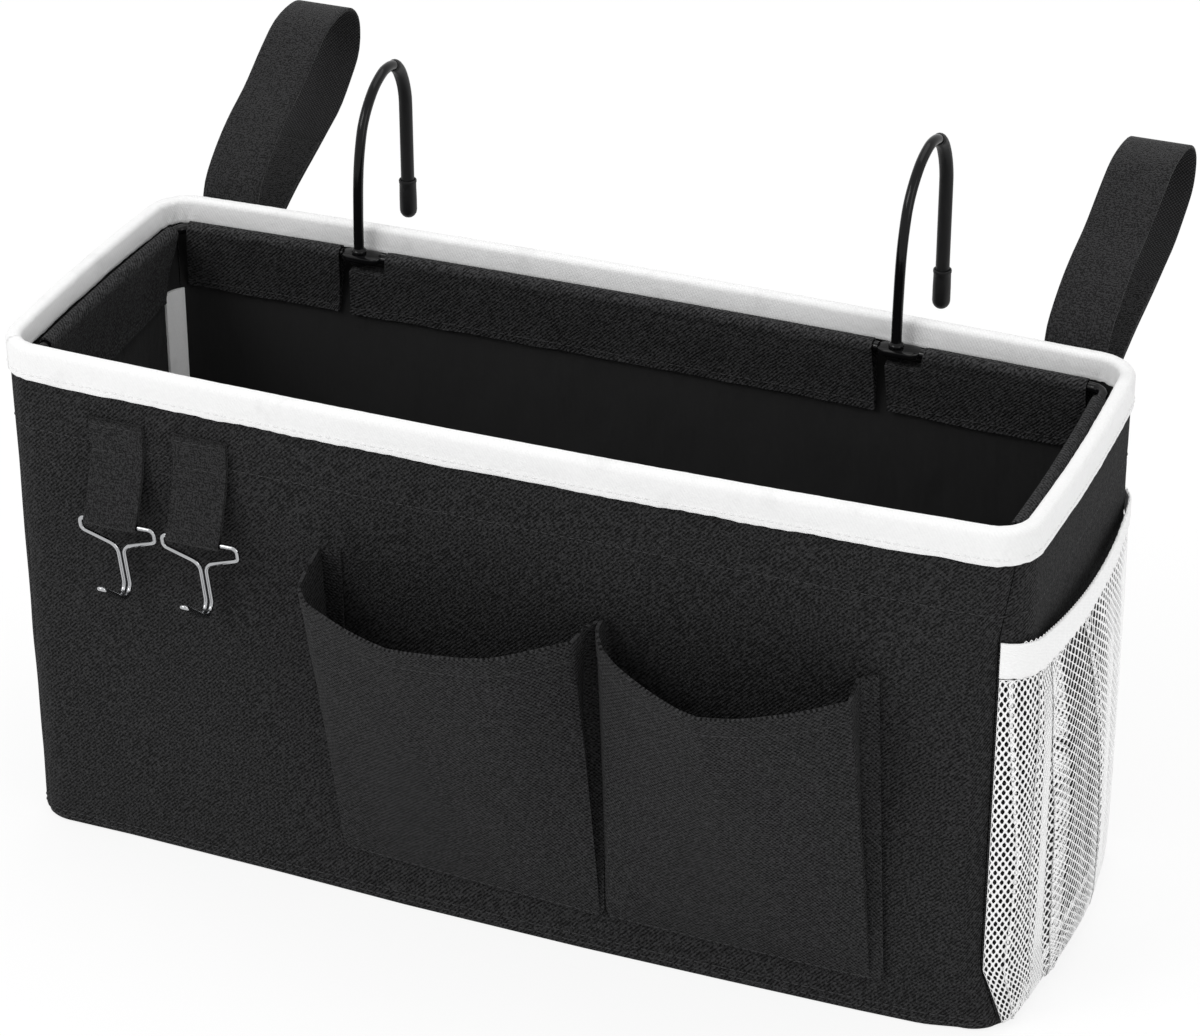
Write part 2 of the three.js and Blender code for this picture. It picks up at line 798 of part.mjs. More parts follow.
function strapLines(wallYAt, loopHeight) {
  const rimY = wallYAt(wallTop) + bindingBuild + layerGap + strapThickness / 2;
  const loop = strapLoopShares.map(([reach, rise]) => {
    return new THREE.Vector2(rimY + reach * strapLoopLength, rimHeight + rise * loopHeight);
  });
  const long = strapLine(rimY, rimHeight - strapFootDrop, loop, strapLineSteps);
  const tapeTop = rimHeight - gripTapeDrop;
  const tapeY = wallYAt(tapeTop) + layerGap + strapThickness / 2;
  const inside = besideLine(long, -strapThickness - layerGap);
  const start = Math.round(strapLineSteps * (1 - gripTapeStepShare));
  const tail = inside.slice(start).filter((p) => p.x < rimY + gripTapeLength).reverse();
  return { long, short: strapLine(tapeY, tapeTop, tail, 2 * tail.length) };
}

function addStraps() {
  const straps = [
    { name: 'left', side: -1, turn: 0, loopHeight: leftStrapLoopHeight },
    { name: 'right', side: 1, turn: rightStrapTurn, loopHeight: rightStrapLoopHeight },
  ];
  for (const { name, side, turn, loopHeight } of straps) {
    const x = side * (rimLength / 2 - strapEndMargin);
    const nearEdge = Math.abs(x) - strapWidth / 2;
    const { long, short } = strapLines((z) => {
      const share = shareAt(walls.back, nearEdge, z);
      return onWall(walls.back, { share, turn: 0 }, 0, z).y;
    }, loopHeight);
    const strap = flatBand(long, strapThickness, strapWidth, turn).translate(x, 0, 0);
    const tape = flatBand(short, strapThickness, strapWidth, turn).translate(x, 0, 0);
    addPart(`strap_${name}`, strap, blackWebbing);
    addPart(`grip_tape_${name}`, tape, blackWebbing);
  }
}

// Webbing tabs: a flat head sewn to the front, and below it a loop that holds a key hook
function tabLayout(x) {
  const headTop = rimHeight - tabTopDrop;
  const headFoot = headTop - tabHeadHeight;
  const share = shareAt(walls.front, x, headFoot);
  const wallY = onWall(walls.front, { share, turn: 0 }, 0, headFoot).y;
  const loopTop = headFoot - layerGap - webbing;
  const axisY = wallY - layerGap - webbing;
  const lean = new THREE.Vector2(-Math.sin(tabLean), -Math.cos(tabLean));
  const barCentre = new THREE.Vector2(axisY, loopTop).addScaledVector(lean, tabLoopLength);
  return { headTop, headFoot, loopTop, axisY, lean, barCentre };
}

// Outline of the folded loop: round above, and a fold round the key hook's bar below
function tabLoopOutline({ loopTop, axisY, lean, barCentre }) {
  const across = new THREE.Vector2(-lean.y, lean.x);
  const boreRadius = keyWireRadius + layerGap;
  const foldRadius = boreRadius + webbing;
  const top = new THREE.Vector2(axisY, loopTop);
  const outline = [];
  for (let i = 0; i <= bendSteps; i++) {
    const angle = Math.PI * (i / bendSteps);
    outline.push(top.clone()
      .addScaledVector(across, webbing * Math.cos(angle))
      .addScaledVector(lean, -webbing * Math.sin(angle)));
  }
  const bore = [];
  for (let i = 0; i <= 2 * bendSteps; i++) {
    const angle = Math.PI + Math.PI * (i / (2 * bendSteps));
    outline.push(barCentre.clone()
      .addScaledVector(across, foldRadius * Math.cos(angle))
      .addScaledVector(lean, -foldRadius * Math.sin(angle)));
  }
  for (let i = 0; i < 2 * bendSteps; i++) {
    const angle = (2 * Math.PI * i) / (2 * bendSteps);
    bore.push(barCentre.clone()
      .addScaledVector(across, boreRadius * Math.cos(angle))
      .addScaledVector(lean, -boreRadius * Math.sin(angle)));
  }
  return { outline, bore };
}

function addTab(name, x) {
  const layout = tabLayout(x);
  const wall = walls.front;
  const stations = [-1, 0, 1].map((s) => {
    const share = shareAt(wall, x + s * tabWidth / 2, layout.headFoot);
    return { wall, share, turn: 0 };
  });
  const back = -layerGap;
  const face = back - 2 * webbing;
  const head = layerSection(face, back, layout.headFoot, layout.headTop);
  addPart(`tab_head_${name}`, sweep(stations, head, placeOnWall), blackWebbing);

  const { outline, bore } = tabLoopOutline(layout);
  const ends = [x - tabWidth / 2, x + tabWidth / 2];
  const toList = (points) => points.map((p) => [p.x, p.y]);
  const place = (station, [y, z]) => new THREE.Vector3(station, y, z);
  const loop = sweep(ends, toList(outline), place, { holes: [toList(bore)] });
  addPart(`tab_loop_${name}`, loop, blackWebbing);

  const keyHook = wireAlong(keyHookRoute(), ringShape(keyWireRadius));
  const part = addPart(`key_hook_${name}`, keyHook, polishedChrome);
  part.position.set(x + keyHookShift, layout.barCentre.x, layout.barCentre.y);
}

// One bent wire: from inside the fold out to one side, in to the middle, down a leg, round the
// tip and back the same way on the other side
function keyHookRoute() {
  const half = keyLegSpacing / 2;
  const side = keyHookWidth / 2 - keyWireRadius;
  const armSlope = keyLegBack / keyLegDrop;
  const tipHalf = keyLegSpacing / 2;
  const corner = (x, y, z, radius) => ({ at: new THREE.Vector3(x, y, z), radius });
  const rightHalf = [
    corner(layerGap, 0, 0, 0),
    corner(side, 0, 0, keyArmBend),
    corner(side, armSlope * keyArmDrop, -keyArmDrop, keyArmBend),
    corner(half, armSlope * keyJunctionDrop, -keyJunctionDrop, keyJunctionBend),
    corner(half, keyLegBack, -keyLegDrop, keyBottomBend),
    corner(tipHalf, -keyTipForward, -keyTipDrop, 0),
  ];
  const oneSide = roundedLine(rightHalf);
  const prong = new THREE.Vector3(0, -keyTipForward - keyLegBack, keyLegDrop - keyTipDrop).normalize();
  const tip = new THREE.Vector3(0, -keyTipForward, -keyTipDrop);
  const turn = [1, 2, 3, 4].map((k) => {
    const angle = Math.PI * (k / bendSteps);
    return tip.clone()
      .addScaledVector(new THREE.Vector3(1, 0, 0), tipHalf * Math.cos(angle))
      .addScaledVector(prong, tipHalf * Math.sin(angle));
  });
  const otherSide = oneSide.map((p) => new THREE.Vector3(-p.x, p.y, p.z)).reverse();
  return [...oneSide, ...turn, ...otherSide];
}

function addTabs() {
  const first = -rimLength / 2 + tabFirstPlace;
  addTab('left', first);
  addTab('right', first + tabSpacing);
}

// Front pockets: cloth that stands out from the front at the top and is sewn flat at the bottom.
// Each entry gives a place across the pocket's mouth and how far it bulges there, as shares, and
// its place along the foot where that differs.
const leftPocketShares = [
  [-0.025, 0.04], [-0.012, 0.3], [0, 0.55], [0.07, 0.74], [0.162, 0.89], [0.25, 0.985],
  [0.323, 0.995], [0.43, 1], [0.552, 0.985], [0.65, 0.94], [0.753, 0.82], [0.807, 0.72],
  [0.888, 0.57], [0.955, 0.33], [0.978, 0.13], [1, 0.04],
];
const rightPocketShares = [
  [0, 0.04], [0.002, 0.2, 0.01], [0.005, 0.36, 0.02], [0.091, 0.54], [0.225, 0.73],
  [0.36, 0.87], [0.489, 0.985], [0.608, 0.93], [0.721, 0.83], [0.839, 0.66],
  [0.953, 0.45, 0.948], [0.938, 0.32, 0.961], [0.925, 0.2, 0.974], [0.965, 0.1, 0.987],
  [1, 0.04],
];

function pocketLayouts() {
  const leftStart = -rimLength / 2 + leftPocketPlace;
  const rightStart = leftStart + leftPocketWidth + pocketSpacing;
  return [
    {
      name: 'pocket_left',
      start: leftStart,
      width: leftPocketWidth,
      openStart: leftStart - leftPocketMouthExtra,
      openWidth: leftPocketWidth + leftPocketMouthExtra,
      foot: leftPocketFootHeight,
      height: leftPocketHeight,
      shares: leftPocketShares,
    },
    {
      name: 'pocket_right',
      start: rightStart,
      width: rightPocketWidth,
      openStart: rightStart,
      openWidth: rightPocketWidth + rightPocketMouthExtra,
      foot: rightPocketFootHeight,
      height: rightPocketHeight,
      shares: rightPocketShares,
    },
  ];
}

function pocketPoint(pocket, [across, bulge, footAcross = across], rise) {
  const start = pocket.start + (pocket.openStart - pocket.start) * rise;
  const width = pocket.width + (pocket.openWidth - pocket.width) * rise;
  const x = start + (footAcross + (across - footAcross) * rise) * width;
  const slope = pocketBulge * bulge;
  const z = pocket.foot + rise * Math.sqrt(pocket.height ** 2 - slope ** 2);
  const share = shareAt(walls.front, x, z);
  const surface = onWall(walls.front, { share, turn: 0 }, 0, z);
  return new THREE.Vector3(x, surface.y - layerGap - pocketSeamGap - slope * rise, z);
}

function addPockets() {
  const riseShares = [0, 0.12, 0.25, 0.4, 0.55, 0.7, 0.85, 1];
  for (const pocket of pocketLayouts()) {
    const inner = riseShares.map((rise) => pocket.shares.map((s) => pocketPoint(pocket, s, rise)));
    const outer = inner.map((row) => row.map((p, j) => {
      const before = row[Math.max(j - 1, 0)];
      const after = row[Math.min(j + 1, row.length - 1)];
      const along = new THREE.Vector2(after.x - before.x, after.y - before.y).normalize();
      return new THREE.Vector3(p.x + along.y * pocketCloth, p.y - along.x * pocketCloth, p.z);
    }));
    addPart(pocket.name, thickSheet(outer, inner), blackCloth);
  }
}

// Net pocket on the right end, gathered under an elastic band. Each pair gives a share of the
// net's height and how far it bulges there.
const netBulgeShares = [
  [0, 0.06], [0.003, 0.35], [0.01, 0.58], [0.045, 0.8], [0.1, 0.93], [0.17, 0.98], [0.23, 1],
  [0.33, 1], [0.43, 0.97], [0.55, 0.92], [0.7, 0.86], [0.83, 0.77], [0.93, 0.6], [0.985, 0.42],
  [1, 0.42],
];

function netStations() {
  const wall = walls.right;
  const stations = [];
  const turnSteps = 2;
  const straightSteps = 24;
  for (let i = 0; i < turnSteps; i++) {
    stations.push({ wall, share: -1, turn: netSeamTurn * (1 - i / turnSteps) });
  }
  for (let i = 0; i <= straightSteps; i++) {
    stations.push({ wall, share: -1 + 2 * (i / straightSteps), turn: 0 });
  }
  for (let i = 1; i <= turnSteps; i++) {
    stations.push({ wall, share: 1, turn: netSeamTurn * (i / turnSteps) });
  }
  return stations;
}

// Sheet that stands off the right end by an amount given at each station and row
function netSheet(stations, profileAt, thickness) {
  const columns = stations.map((s, j) => {
    const line = profileAt(j);
    const place = (p) => onWall(s.wall, s, -(layerGap + p.x), p.y);
    return {
      inner: line.map(place),
      outer: besideLine(line, -thickness).map(place),
    };
  });
  const turned = (side) => {
    return columns[0][side].map((_, i) => columns.map((column) => column[side][i]));
  };
  return thickSheet(turned('outer'), turned('inner'));
}

function addNetPocket() {
  const stations = netStations();
  const last = stations.length - 1;
  const openness = (j) => 1 - (2 * j / last - 1) ** 2;
  const slide = (front, back, j) => front + (back - front) * (j / last);
  const bandTop = (j) => slide(bandFrontTop, bandBackTop, j) - bandSag * openness(j);
  const bandHeight = (j) => slide(bandFrontHeight, bandBackHeight, j);
  const netProfile = (j) => netBulgeShares.map(([rise, bulge]) => {
    const top = bandTop(j) - bandHeight(j) - layerGap;
    const gather = Math.cos(2 * Math.PI * netGatherCount * (j / last)) * Math.sin(Math.PI * rise);
    const out = (bulge * netBulge + netGatherDepth * gather) * openness(j) ** 1.3;
    return new THREE.Vector2(netThickness + out, netBottom + rise * (top - netBottom));
  });
  const bandProfile = (j) => [1, 0].map((s) => {
    return new THREE.Vector2(bandBulge * openness(j), bandTop(j) - bandHeight(j) * s);
  });
  addPart('net_pocket', netSheet(stations, netProfile, netThickness), whiteNet);
  addPart('net_band', netSheet(stations, bandProfile, bandThickness), whiteTape);
}

addWalls();
addFloor();
addBinding();
addFrame();
addSleeves();
addSeamTapes();
addHook(-1, 'left', leftHookRise, 0);
addHook(1, 'right', rightHookRise, rightHookTurn);
addStraps();
addTabs();
addPockets();
addNetPocket();

export default caddy;
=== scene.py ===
"""Dressed model of a hanging bedside caddy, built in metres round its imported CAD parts."""

import math

import bpy
import numpy as np
from mathutils import Matrix, Vector


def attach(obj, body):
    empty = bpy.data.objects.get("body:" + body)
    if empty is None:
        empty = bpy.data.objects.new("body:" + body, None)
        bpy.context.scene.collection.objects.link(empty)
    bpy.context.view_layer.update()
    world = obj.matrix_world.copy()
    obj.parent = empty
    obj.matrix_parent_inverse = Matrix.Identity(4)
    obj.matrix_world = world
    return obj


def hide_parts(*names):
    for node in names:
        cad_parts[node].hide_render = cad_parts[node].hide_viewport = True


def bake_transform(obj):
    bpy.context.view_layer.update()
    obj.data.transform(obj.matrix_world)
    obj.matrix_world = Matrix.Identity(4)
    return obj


bl_info = {
    "name": "Bedside caddy",
    "version": (1, 0, 0),
    "blender": (4, 5, 0),
    "location": "View3D > Sidebar > Caddy",
    "description": "Builds the cloth, tapes, wire and net of a hanging bedside caddy",
    "category": "Add Mesh",
}

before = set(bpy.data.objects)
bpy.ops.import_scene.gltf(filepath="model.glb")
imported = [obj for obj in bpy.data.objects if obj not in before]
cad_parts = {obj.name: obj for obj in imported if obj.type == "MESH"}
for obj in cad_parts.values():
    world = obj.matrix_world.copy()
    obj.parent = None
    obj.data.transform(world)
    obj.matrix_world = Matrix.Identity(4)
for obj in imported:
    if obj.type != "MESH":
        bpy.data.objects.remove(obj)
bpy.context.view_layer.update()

# Shapes are worked out in millimetres and written to meshes in metres
MM = 0.001

# Plan of the walls
WALLS = {"front": (0, True), "right": (1, False), "back": (2, True), "left": (3, False)}
CORNER_RADIUS = 16.0
HALF_DEPTH = 70.9
BASE_HALF = 198.5
TOP_HALF = 198.9
WALL_TOP = 207.9
RIM_TOP = 209.0
BOW_START = 60.0
LONG_BOW = 4.0
END_BOW = 1.5
WALL_THICKNESS = 3.9
CORNER_MIDDLE = math.pi / 4

# Frame and hooks
FRAME_Z = 199.0
FRAME_INSET = 10.5
WIRE_RADIUS = 2.0
EYE = {"length": 17.5, "width": 9.0, "thickness": 2.4, "shift": 1.4}
HOOK_RADIUS = 2.0

# Hooks: place of the stem, turn, and rise of the arch above the frame
HOOKS = {
    "left": ((-111.5, 62.62), 0.0, 66.5),
    "right": ((107.5, 62.712), math.radians(-3), 71.5),
}

# Tabs: middle, and centre of the key hook's bar
TABS = {
    "left": (-148.0, (-81.6555, 148.1077)),
    "right": (-113.5, (-82.2856, 148.1077)),
}
TAB_LEAN = math.radians(20)
TAB_THICKNESS = 0.95
TAB_ROWS = (184.2, 173.8)
KEY_WIRE = 0.9
KEY_HOOK_ASIDE = 2.2
SLEEVE_CLOTH = 0.72


# ---- Sizes and colours that a user can change ----

def length_property(label, text, millimetres):
    return bpy.props.FloatProperty(
        name=label, description=text, default=millimetres * MM, min=0.0,
        precision=5, subtype="DISTANCE", unit="LENGTH",
    )


def colour_property(label, text, rgb):
    return bpy.props.FloatVectorProperty(
        name=label, description=text, default=(*rgb, 1.0), min=0.0, max=1.0,
        size=4, subtype="COLOR",
    )


class CaddySizes(bpy.types.PropertyGroup):
    """Sizes of the caddy's weave, stitches and folds."""
    weave_pitch: length_property("Weave pitch", "Distance between threads of the outer cloth", 1.15)
    stitch_length: length_property("Stitch length", "Length of one stitch", 2.5)
    stitch_pitch: length_property("Stitch pitch", "Distance from one stitch to the next", 3.5)
    thread_radius: length_property("Thread radius", "Radius of the sewing thread", 0.24)
    pucker: length_property("Pucker depth", "Depth of the puckers beside a seam", 0.25)
    tape_rib: length_property("Tape rib pitch", "Distance between the ribs of the binding", 1.25)
    hem_depth: length_property("Pocket hem", "Depth of the folded hem of a pocket's mouth", 8.5)
    net_column: length_property("Net column pitch", "Distance between the net's columns", 1.6)
    net_row: length_property("Net row pitch", "Height of one mesh of the net", 4.0)
    yarn: length_property("Net yarn", "Thickness of the net's yarn", 0.48)


class CaddyColours(bpy.types.PropertyGroup):
    """Colours of the caddy's cloths, threads and metals."""
    shell: colour_property("Outer cloth", "Black canvas", (0.018, 0.018, 0.0185))
    lining: colour_property("Lining", "Smooth black lining", (0.0064, 0.0064, 0.0066))
    thread: colour_property("Thread", "Sewing thread on the black cloth", (0.022, 0.022, 0.023))
    tape: colour_property("Binding", "White binding tape", (0.85, 0.85, 0.85))
    # The seam tape is paler than the binding as painted light, making up for the shade inside the
    # box
    seam_tape: colour_property("Seam tape", "White tape over the corner seams", (0.97, 0.97, 0.97))
    webbing: colour_property("Webbing", "Black webbing", (0.019, 0.019, 0.0195))
    enamel: colour_property("Enamel", "Black gloss on the wire", (0.004, 0.004, 0.0043))
    plastic: colour_property("Plastic", "Matt black sleeves and caps", (0.0065, 0.0065, 0.0068))
    # The plating's colour is kept dark as painted shade, standing in for reflections of dark
    # surroundings
    chrome: colour_property("Chrome", "Plated key hooks", (0.43, 0.435, 0.445))
    net: colour_property("Net", "White knitted net", (0.97, 0.97, 0.97))
    elastic: colour_property("Elastic", "White elastic band", (0.9, 0.9, 0.9))
    board: colour_property("Board", "Stiff sheet between the cloths", (0.25, 0.22, 0.17))
    floor: colour_property("Floor", "Pale floor", (0.9, 0.9, 0.9))


def size(name):
    """A size of the caddy in millimetres."""
    return getattr(bpy.context.scene.caddy_sizes, name) / MM


def colour(name):
    return tuple(getattr(bpy.context.scene.caddy_colours, name))


# ---- Shader arithmetic ----

class Flow:
    """One output of a material's node, which takes part in plain arithmetic."""

    def __init__(self, finish, socket):
        self.finish = finish
        self.socket = socket

    def math(self, operation, *others):
        values = dict(enumerate((self, *others)))
        return self.finish.node("ShaderNodeMath", {"operation": operation}, values)

    def __add__(self, other):
        return self.math("ADD", other)

    def __radd__(self, other):
        return self.math("ADD", other)

    def __sub__(self, other):
        return self.math("SUBTRACT", other)

    def __rsub__(self, other):
        values = {0: other, 1: self}
        return self.finish.node("ShaderNodeMath", {"operation": "SUBTRACT"}, values)

    def __mul__(self, other):
        return self.math("MULTIPLY", other)

    def __rmul__(self, other):
        return self.math("MULTIPLY", other)

    def sine(self):
        return self.math("SINE")

    def above(self, edge, soft):
        """0 below an edge and 1 above it, over a soft width."""
        values = {0: self, 1: edge - soft, 2: edge + soft, 3: 0.0, 4: 1.0}
        settings = {"interpolation_type": "SMOOTHSTEP"}
        return self.finish.node("ShaderNodeMapRange", settings, values)


class Finish:
    """A node material that is written as arithmetic on Flow values."""

    def __init__(self, name, rgb, roughness, **fixed):
        self.material = bpy.data.materials.new(name)
        self.material.use_nodes = True
        self.tree = self.material.node_tree
        self.tree.nodes.clear()
        self.rgb = rgb
        values = {"Base Color": rgb, "Roughness": roughness}
        values.update({key.replace("_", " "): value for key, value in fixed.items()})
        self.shader = self.node("ShaderNodeBsdfPrincipled", {}, values)
        self.node("ShaderNodeOutputMaterial", {}, {"Surface": self.shader})

    def node(self, kind, settings=None, values=None, output=0):
        made = self.tree.nodes.new(kind)
        for key, value in (settings or {}).items():
            setattr(made, key, value)
        for key, value in (values or {}).items():
            self.feed(made, key, value)
        return Flow(self, made.outputs[output]) if len(made.outputs) else None

    def feed(self, node, key, value):
        if isinstance(value, Flow):
            self.tree.links.new(value.socket, node.inputs[key])
        else:
            node.inputs[key].default_value = value

    def set(self, key, value):
        self.feed(self.shader.socket.node, key, value)

    def cloth(self):
        """Places across and along the cloth, in metres."""
        place = self.node("ShaderNodeUVMap", {"uv_map": "cloth"})
        return [self.node("ShaderNodeSeparateXYZ", {}, {0: place}, i) for i in (0, 1)]

    def room(self):
        """Place in the object's own space, in metres."""
        return self.node("ShaderNodeTexCoord", {}, {}, 3)

    def noise(self, scale, detail=2.0, stretch=None):
        place = self.room()
        if stretch:
            values = {0: place, 1: stretch}
            place = self.node("ShaderNodeVectorMath", {"operation": "MULTIPLY"}, values)
        values = {"Vector": place, "Scale": scale, "Detail": detail, "Roughness": 0.55}
        return self.node("ShaderNodeTexNoise", {}, values)

    def wave(self, place, pitch):
        """A smooth wave of that pitch along a place in metres, from -1 to 1."""
        return (place * (2 * math.pi / pitch)).sine()

    def tint(self, mask, low, high):
        """The finish's colour, scaled from low to high as the mask goes from 0 to 1."""
        dark, pale = [(*(min(1.0, c * k) for c in self.rgb[:3]), 1.0) for k in (low, high)]
        values = {0: mask, 6: dark, 7: pale}
        return self.node("ShaderNodeMix", {"data_type": "RGBA"}, values, 2)

    def bump(self, height, depth, under=None):
        """Adds a height field, from 0 to 1, of that depth in millimetres."""
        values = {"Height": height, "Distance": depth * MM, "Strength": 1.0}
        if under is not None:
            values["Normal"] = under
        made = self.node("ShaderNodeBump", {}, values)
        self.set("Normal", made)
        return made


def canvas(name, rgb, pitch, rows=False):
    """Woven cloth with flecks and slow folds: a slanting twill, or a plain weave in rows."""
    finish = Finish(name, rgb, 0.9, Specular_IOR_Level=0.1, Sheen_Weight=0.02,
                    Sheen_Roughness=0.4)
    across, along = finish.cloth()
    wander = finish.noise(220.0, 2.0) * 0.0011
    if rows:
        ribs = finish.wave(along + wander, pitch) * 0.5 + 0.5
        crossing = finish.wave(across + wander, pitch * 1.45) * finish.wave(along, pitch * 1.45)
        breaks = crossing.above(0.0, 0.4)
    else:
        ribs = finish.wave((along - across) * 0.707 + wander, pitch) * 0.5 + 0.5
        breaks = finish.wave((along + across) * 0.707, pitch * 1.4) * 0.5 + 0.5
    grain = finish.noise(1000.0, 1.0).above(0.51, 0.05)
    flecks = finish.noise(950.0, 1.0).above(0.69, 0.03)
    folds = finish.noise(26.0, 3.0)
    patches = finish.noise(120.0, 3.0)
    shares = (0.08, 0.52, 0.34) if rows else (0.46, 0.05, 0.44)
    shade = (ribs * shares[0] + breaks * shares[1] + grain * shares[2] + patches * 0.05
             + flecks * 1.1)
    finish.set("Base Color", finish.tint(shade, 0.0, 2.1))
    finish.set("Roughness", patches * 0.15 + 0.8)
    low = finish.bump(folds, 1.6)
    finish.bump(ribs * 0.6 + grain * 0.4, 0.35, low)
    return finish.material


def smooth_lining(name, rgb):
    finish = Finish(name, rgb, 0.75, Specular_IOR_Level=0.3, Sheen_Weight=0.06,
                    Sheen_Roughness=0.5)
    across, along = finish.cloth()
    threads = finish.wave(across, 0.00045) * finish.wave(along, 0.00045)
    folds = finish.noise(34.0, 4.0, (1.0, 1.0, 0.45))
    grain = finish.noise(700.0, 2.0)
    finish.set("Base Color", finish.tint(grain * 0.6 + folds * 0.4, 0.55, 1.6))
    finish.set("Roughness", folds * 0.25 + 0.62)
    low = finish.bump(folds, 3.2)
    finish.bump(threads * 0.5 + 0.5, 0.06, low)
    return finish.material


def ribbed_tape(name, rgb, pitch, along_ribs=False):
    """Twill tape: fine slanting ribs and faint marks of handling."""
    finish = Finish(name, rgb, 0.85, Specular_IOR_Level=0.25, Sheen_Weight=0.1,
                    Sheen_Roughness=0.4)
    across, along = finish.cloth()
    first, second = (along, across) if along_ribs else (across, along)
    slant = first + second * 0.55
    ribs = finish.wave(slant, pitch) * 0.5 + 0.5
    yarn = finish.wave(along, 0.0006) * 0.5 + 0.5
    grain = finish.noise(800.0, 2.0)
    marks = finish.noise(45.0, 5.0).above(0.66, 0.07)
    shade = ribs * 0.12 + grain * 0.5 - marks * 0.5 + 0.45
    finish.set("Base Color", finish.tint(shade, 0.86, 1.02))
    folds = finish.noise(90.0, 3.0)
    low = finish.bump(folds, 0.7)
    finish.bump(ribs * 0.6 + yarn * 0.4, 0.09, low)
    return finish.material


def webbing_tape(name, rgb, pitch, velvet=0.0, coarse=False):
    """Woven webbing: ribs across its length, or the coarse grip of a hook tape."""
    finish = Finish(name, rgb, 0.9, Specular_IOR_Level=0.12, Sheen_Weight=0.03 + velvet,
                    Sheen_Roughness=0.35)
    across, along = finish.cloth()
    ribs = finish.wave(along, pitch) * 0.5 + 0.5
    threads = finish.wave(across, pitch * 0.7) * 0.5 + 0.5
    grain = finish.noise(1100.0, 2.0)
    if coarse:
        dots = (finish.wave(across, 0.0014) * finish.wave(along, 0.0014)).above(0.1, 0.3)
        shade = dots * 0.7 + grain * 0.3
        finish.set("Base Color", finish.tint(shade, 0.35, 2.6))
        finish.bump(shade, 0.6)
    else:
        pebbles = finish.noise(1500.0, 1.0).above(0.5, 0.08)
        shade = ribs * 0.14 + threads * 0.1 + grain * 0.16 + pebbles * 0.6
        finish.set("Base Color", finish.tint(shade, 0.15, 1.85))
        finish.bump(shade, 0.25)
    return finish.material


def thread_finish(name, rgb):
    finish = Finish(name, rgb, 0.7, Specular_IOR_Level=0.4)
    twist = finish.noise(2500.0, 1.0)
    finish.set("Base Color", finish.tint(twist, 0.7, 1.4))
    finish.bump(twist, 0.05)
    return finish.material


def gloss_enamel(name, rgb):
    finish = Finish(name, rgb, 0.1, Specular_IOR_Level=0.17)
    wear = finish.noise(120.0, 4.0)
    finish.set("Roughness", wear * 0.08 + 0.06)
    finish.set("Base Color", finish.tint(wear, 0.8, 1.25))
    finish.bump(finish.noise(300.0, 2.0), 0.04)
    return finish.material


def matt_plastic(name, rgb):
    finish = Finish(name, rgb, 0.5, Specular_IOR_Level=0.22)
    grain = finish.noise(1500.0, 2.0)
    finish.set("Roughness", grain * 0.2 + 0.38)
    finish.set("Base Color", finish.tint(grain, 0.8, 1.3))
    finish.bump(grain, 0.05)
    return finish.material


def bright_plating(name, rgb):
    finish = Finish(name, rgb, 0.12, Metallic=1.0)
    smear = finish.noise(160.0, 4.0)
    finish.set("Roughness", smear * 0.08 + 0.02)
    finish.set("Base Color", finish.tint(smear, 0.85, 1.1))
    finish.bump(smear, 0.03)
    return finish.material


def net_yarn(name, rgb):
    finish = Finish(name, rgb, 0.75, Specular_IOR_Level=0.3, Sheen_Weight=0.1,
                    Sheen_Roughness=0.4)
    fibres = finish.noise(2200.0, 2.0, (1.0, 1.0, 0.4))
    finish.set("Base Color", finish.tint(fibres, 0.92, 1.04))
    finish.bump(fibres, 0.05)
    return finish.material


def stiff_board(name, rgb):
    finish = Finish(name, rgb, 0.9)
    fibres = finish.noise(400.0, 3.0)
    finish.set("Base Color", finish.tint(fibres, 0.8, 1.15))
    finish.bump(fibres, 0.1)
    return finish.material


# ---- Mesh making ----

def add_mesh(name, points, faces, cloth=None, sharp=None):
    """A smooth mesh of points in millimetres, with places on the cloth as its UVs."""
    mesh = bpy.data.meshes.new(name)
    mesh.from_pydata((np.asarray(points) * MM).tolist(), [], faces)
    mesh.validate()
    if cloth is not None:
        layer = mesh.uv_layers.new(name="cloth")
        corners = np.empty(len(mesh.loops), np.int32)
        mesh.loops.foreach_get("vertex_index", corners)
        flat = (np.asarray(cloth) * MM)[corners].astype(np.float32)
        layer.data.foreach_set("uv", flat.ravel())
    mesh.shade_smooth()
    if sharp:
        mesh.set_sharp_from_angle(angle=math.radians(sharp))
    piece = bpy.data.objects.new(name, mesh)
    bpy.context.scene.collection.objects.link(piece)
    return piece


def dress(piece, material, body="box", replaced=()):
    """Gives a piece its finish, its body and the CAD nodes that it stands for."""
    piece.data.materials.append(material)
    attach(piece, body)
    if replaced:
        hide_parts(*replaced)
    return piece


def quads(rows, columns, closed=False, offset=0, flip=False):
    """Faces of a grid of points, whose last column joins the first if it is closed."""
    last = columns if closed else columns - 1
    made = []
    for i in range(rows - 1):
        for j in range(last):
            a = offset + i * columns + j
            b = offset + i * columns + (j + 1) % columns
            face = (a, b, b + columns, a + columns)
            made.append(face[::-1] if flip else face)
    return made


def closed_faces(rows, columns, flip=False):
    """Faces of a closed ring of columns, with a cap on its first and on its last row."""
    low = tuple(range(columns))
    high = tuple((rows - 1) * columns + k for k in low)
    caps = [low, high[::-1]] if flip else [low[::-1], high]
    return quads(rows, columns, True, flip=flip) + caps


def grid_normals(grid):
    """Unit normals of a grid, to the right-hand side of its rows and columns."""
    normal = np.cross(np.gradient(grid, axis=1), np.gradient(grid, axis=0))
    return normal / np.maximum(np.linalg.norm(normal, axis=2, keepdims=True), 1e-9)


def grid_cloth(grid):
    """Distances across and along a grid, in millimetres."""
    across = np.linalg.norm(np.diff(grid, axis=1), axis=2).mean(0)
    along = np.linalg.norm(np.diff(grid, axis=0), axis=2).mean(1)
    u = np.concatenate([[0], np.cumsum(across)])
    v = np.concatenate([[0], np.cumsum(along)])
    return np.stack(np.meshgrid(u, v), -1)


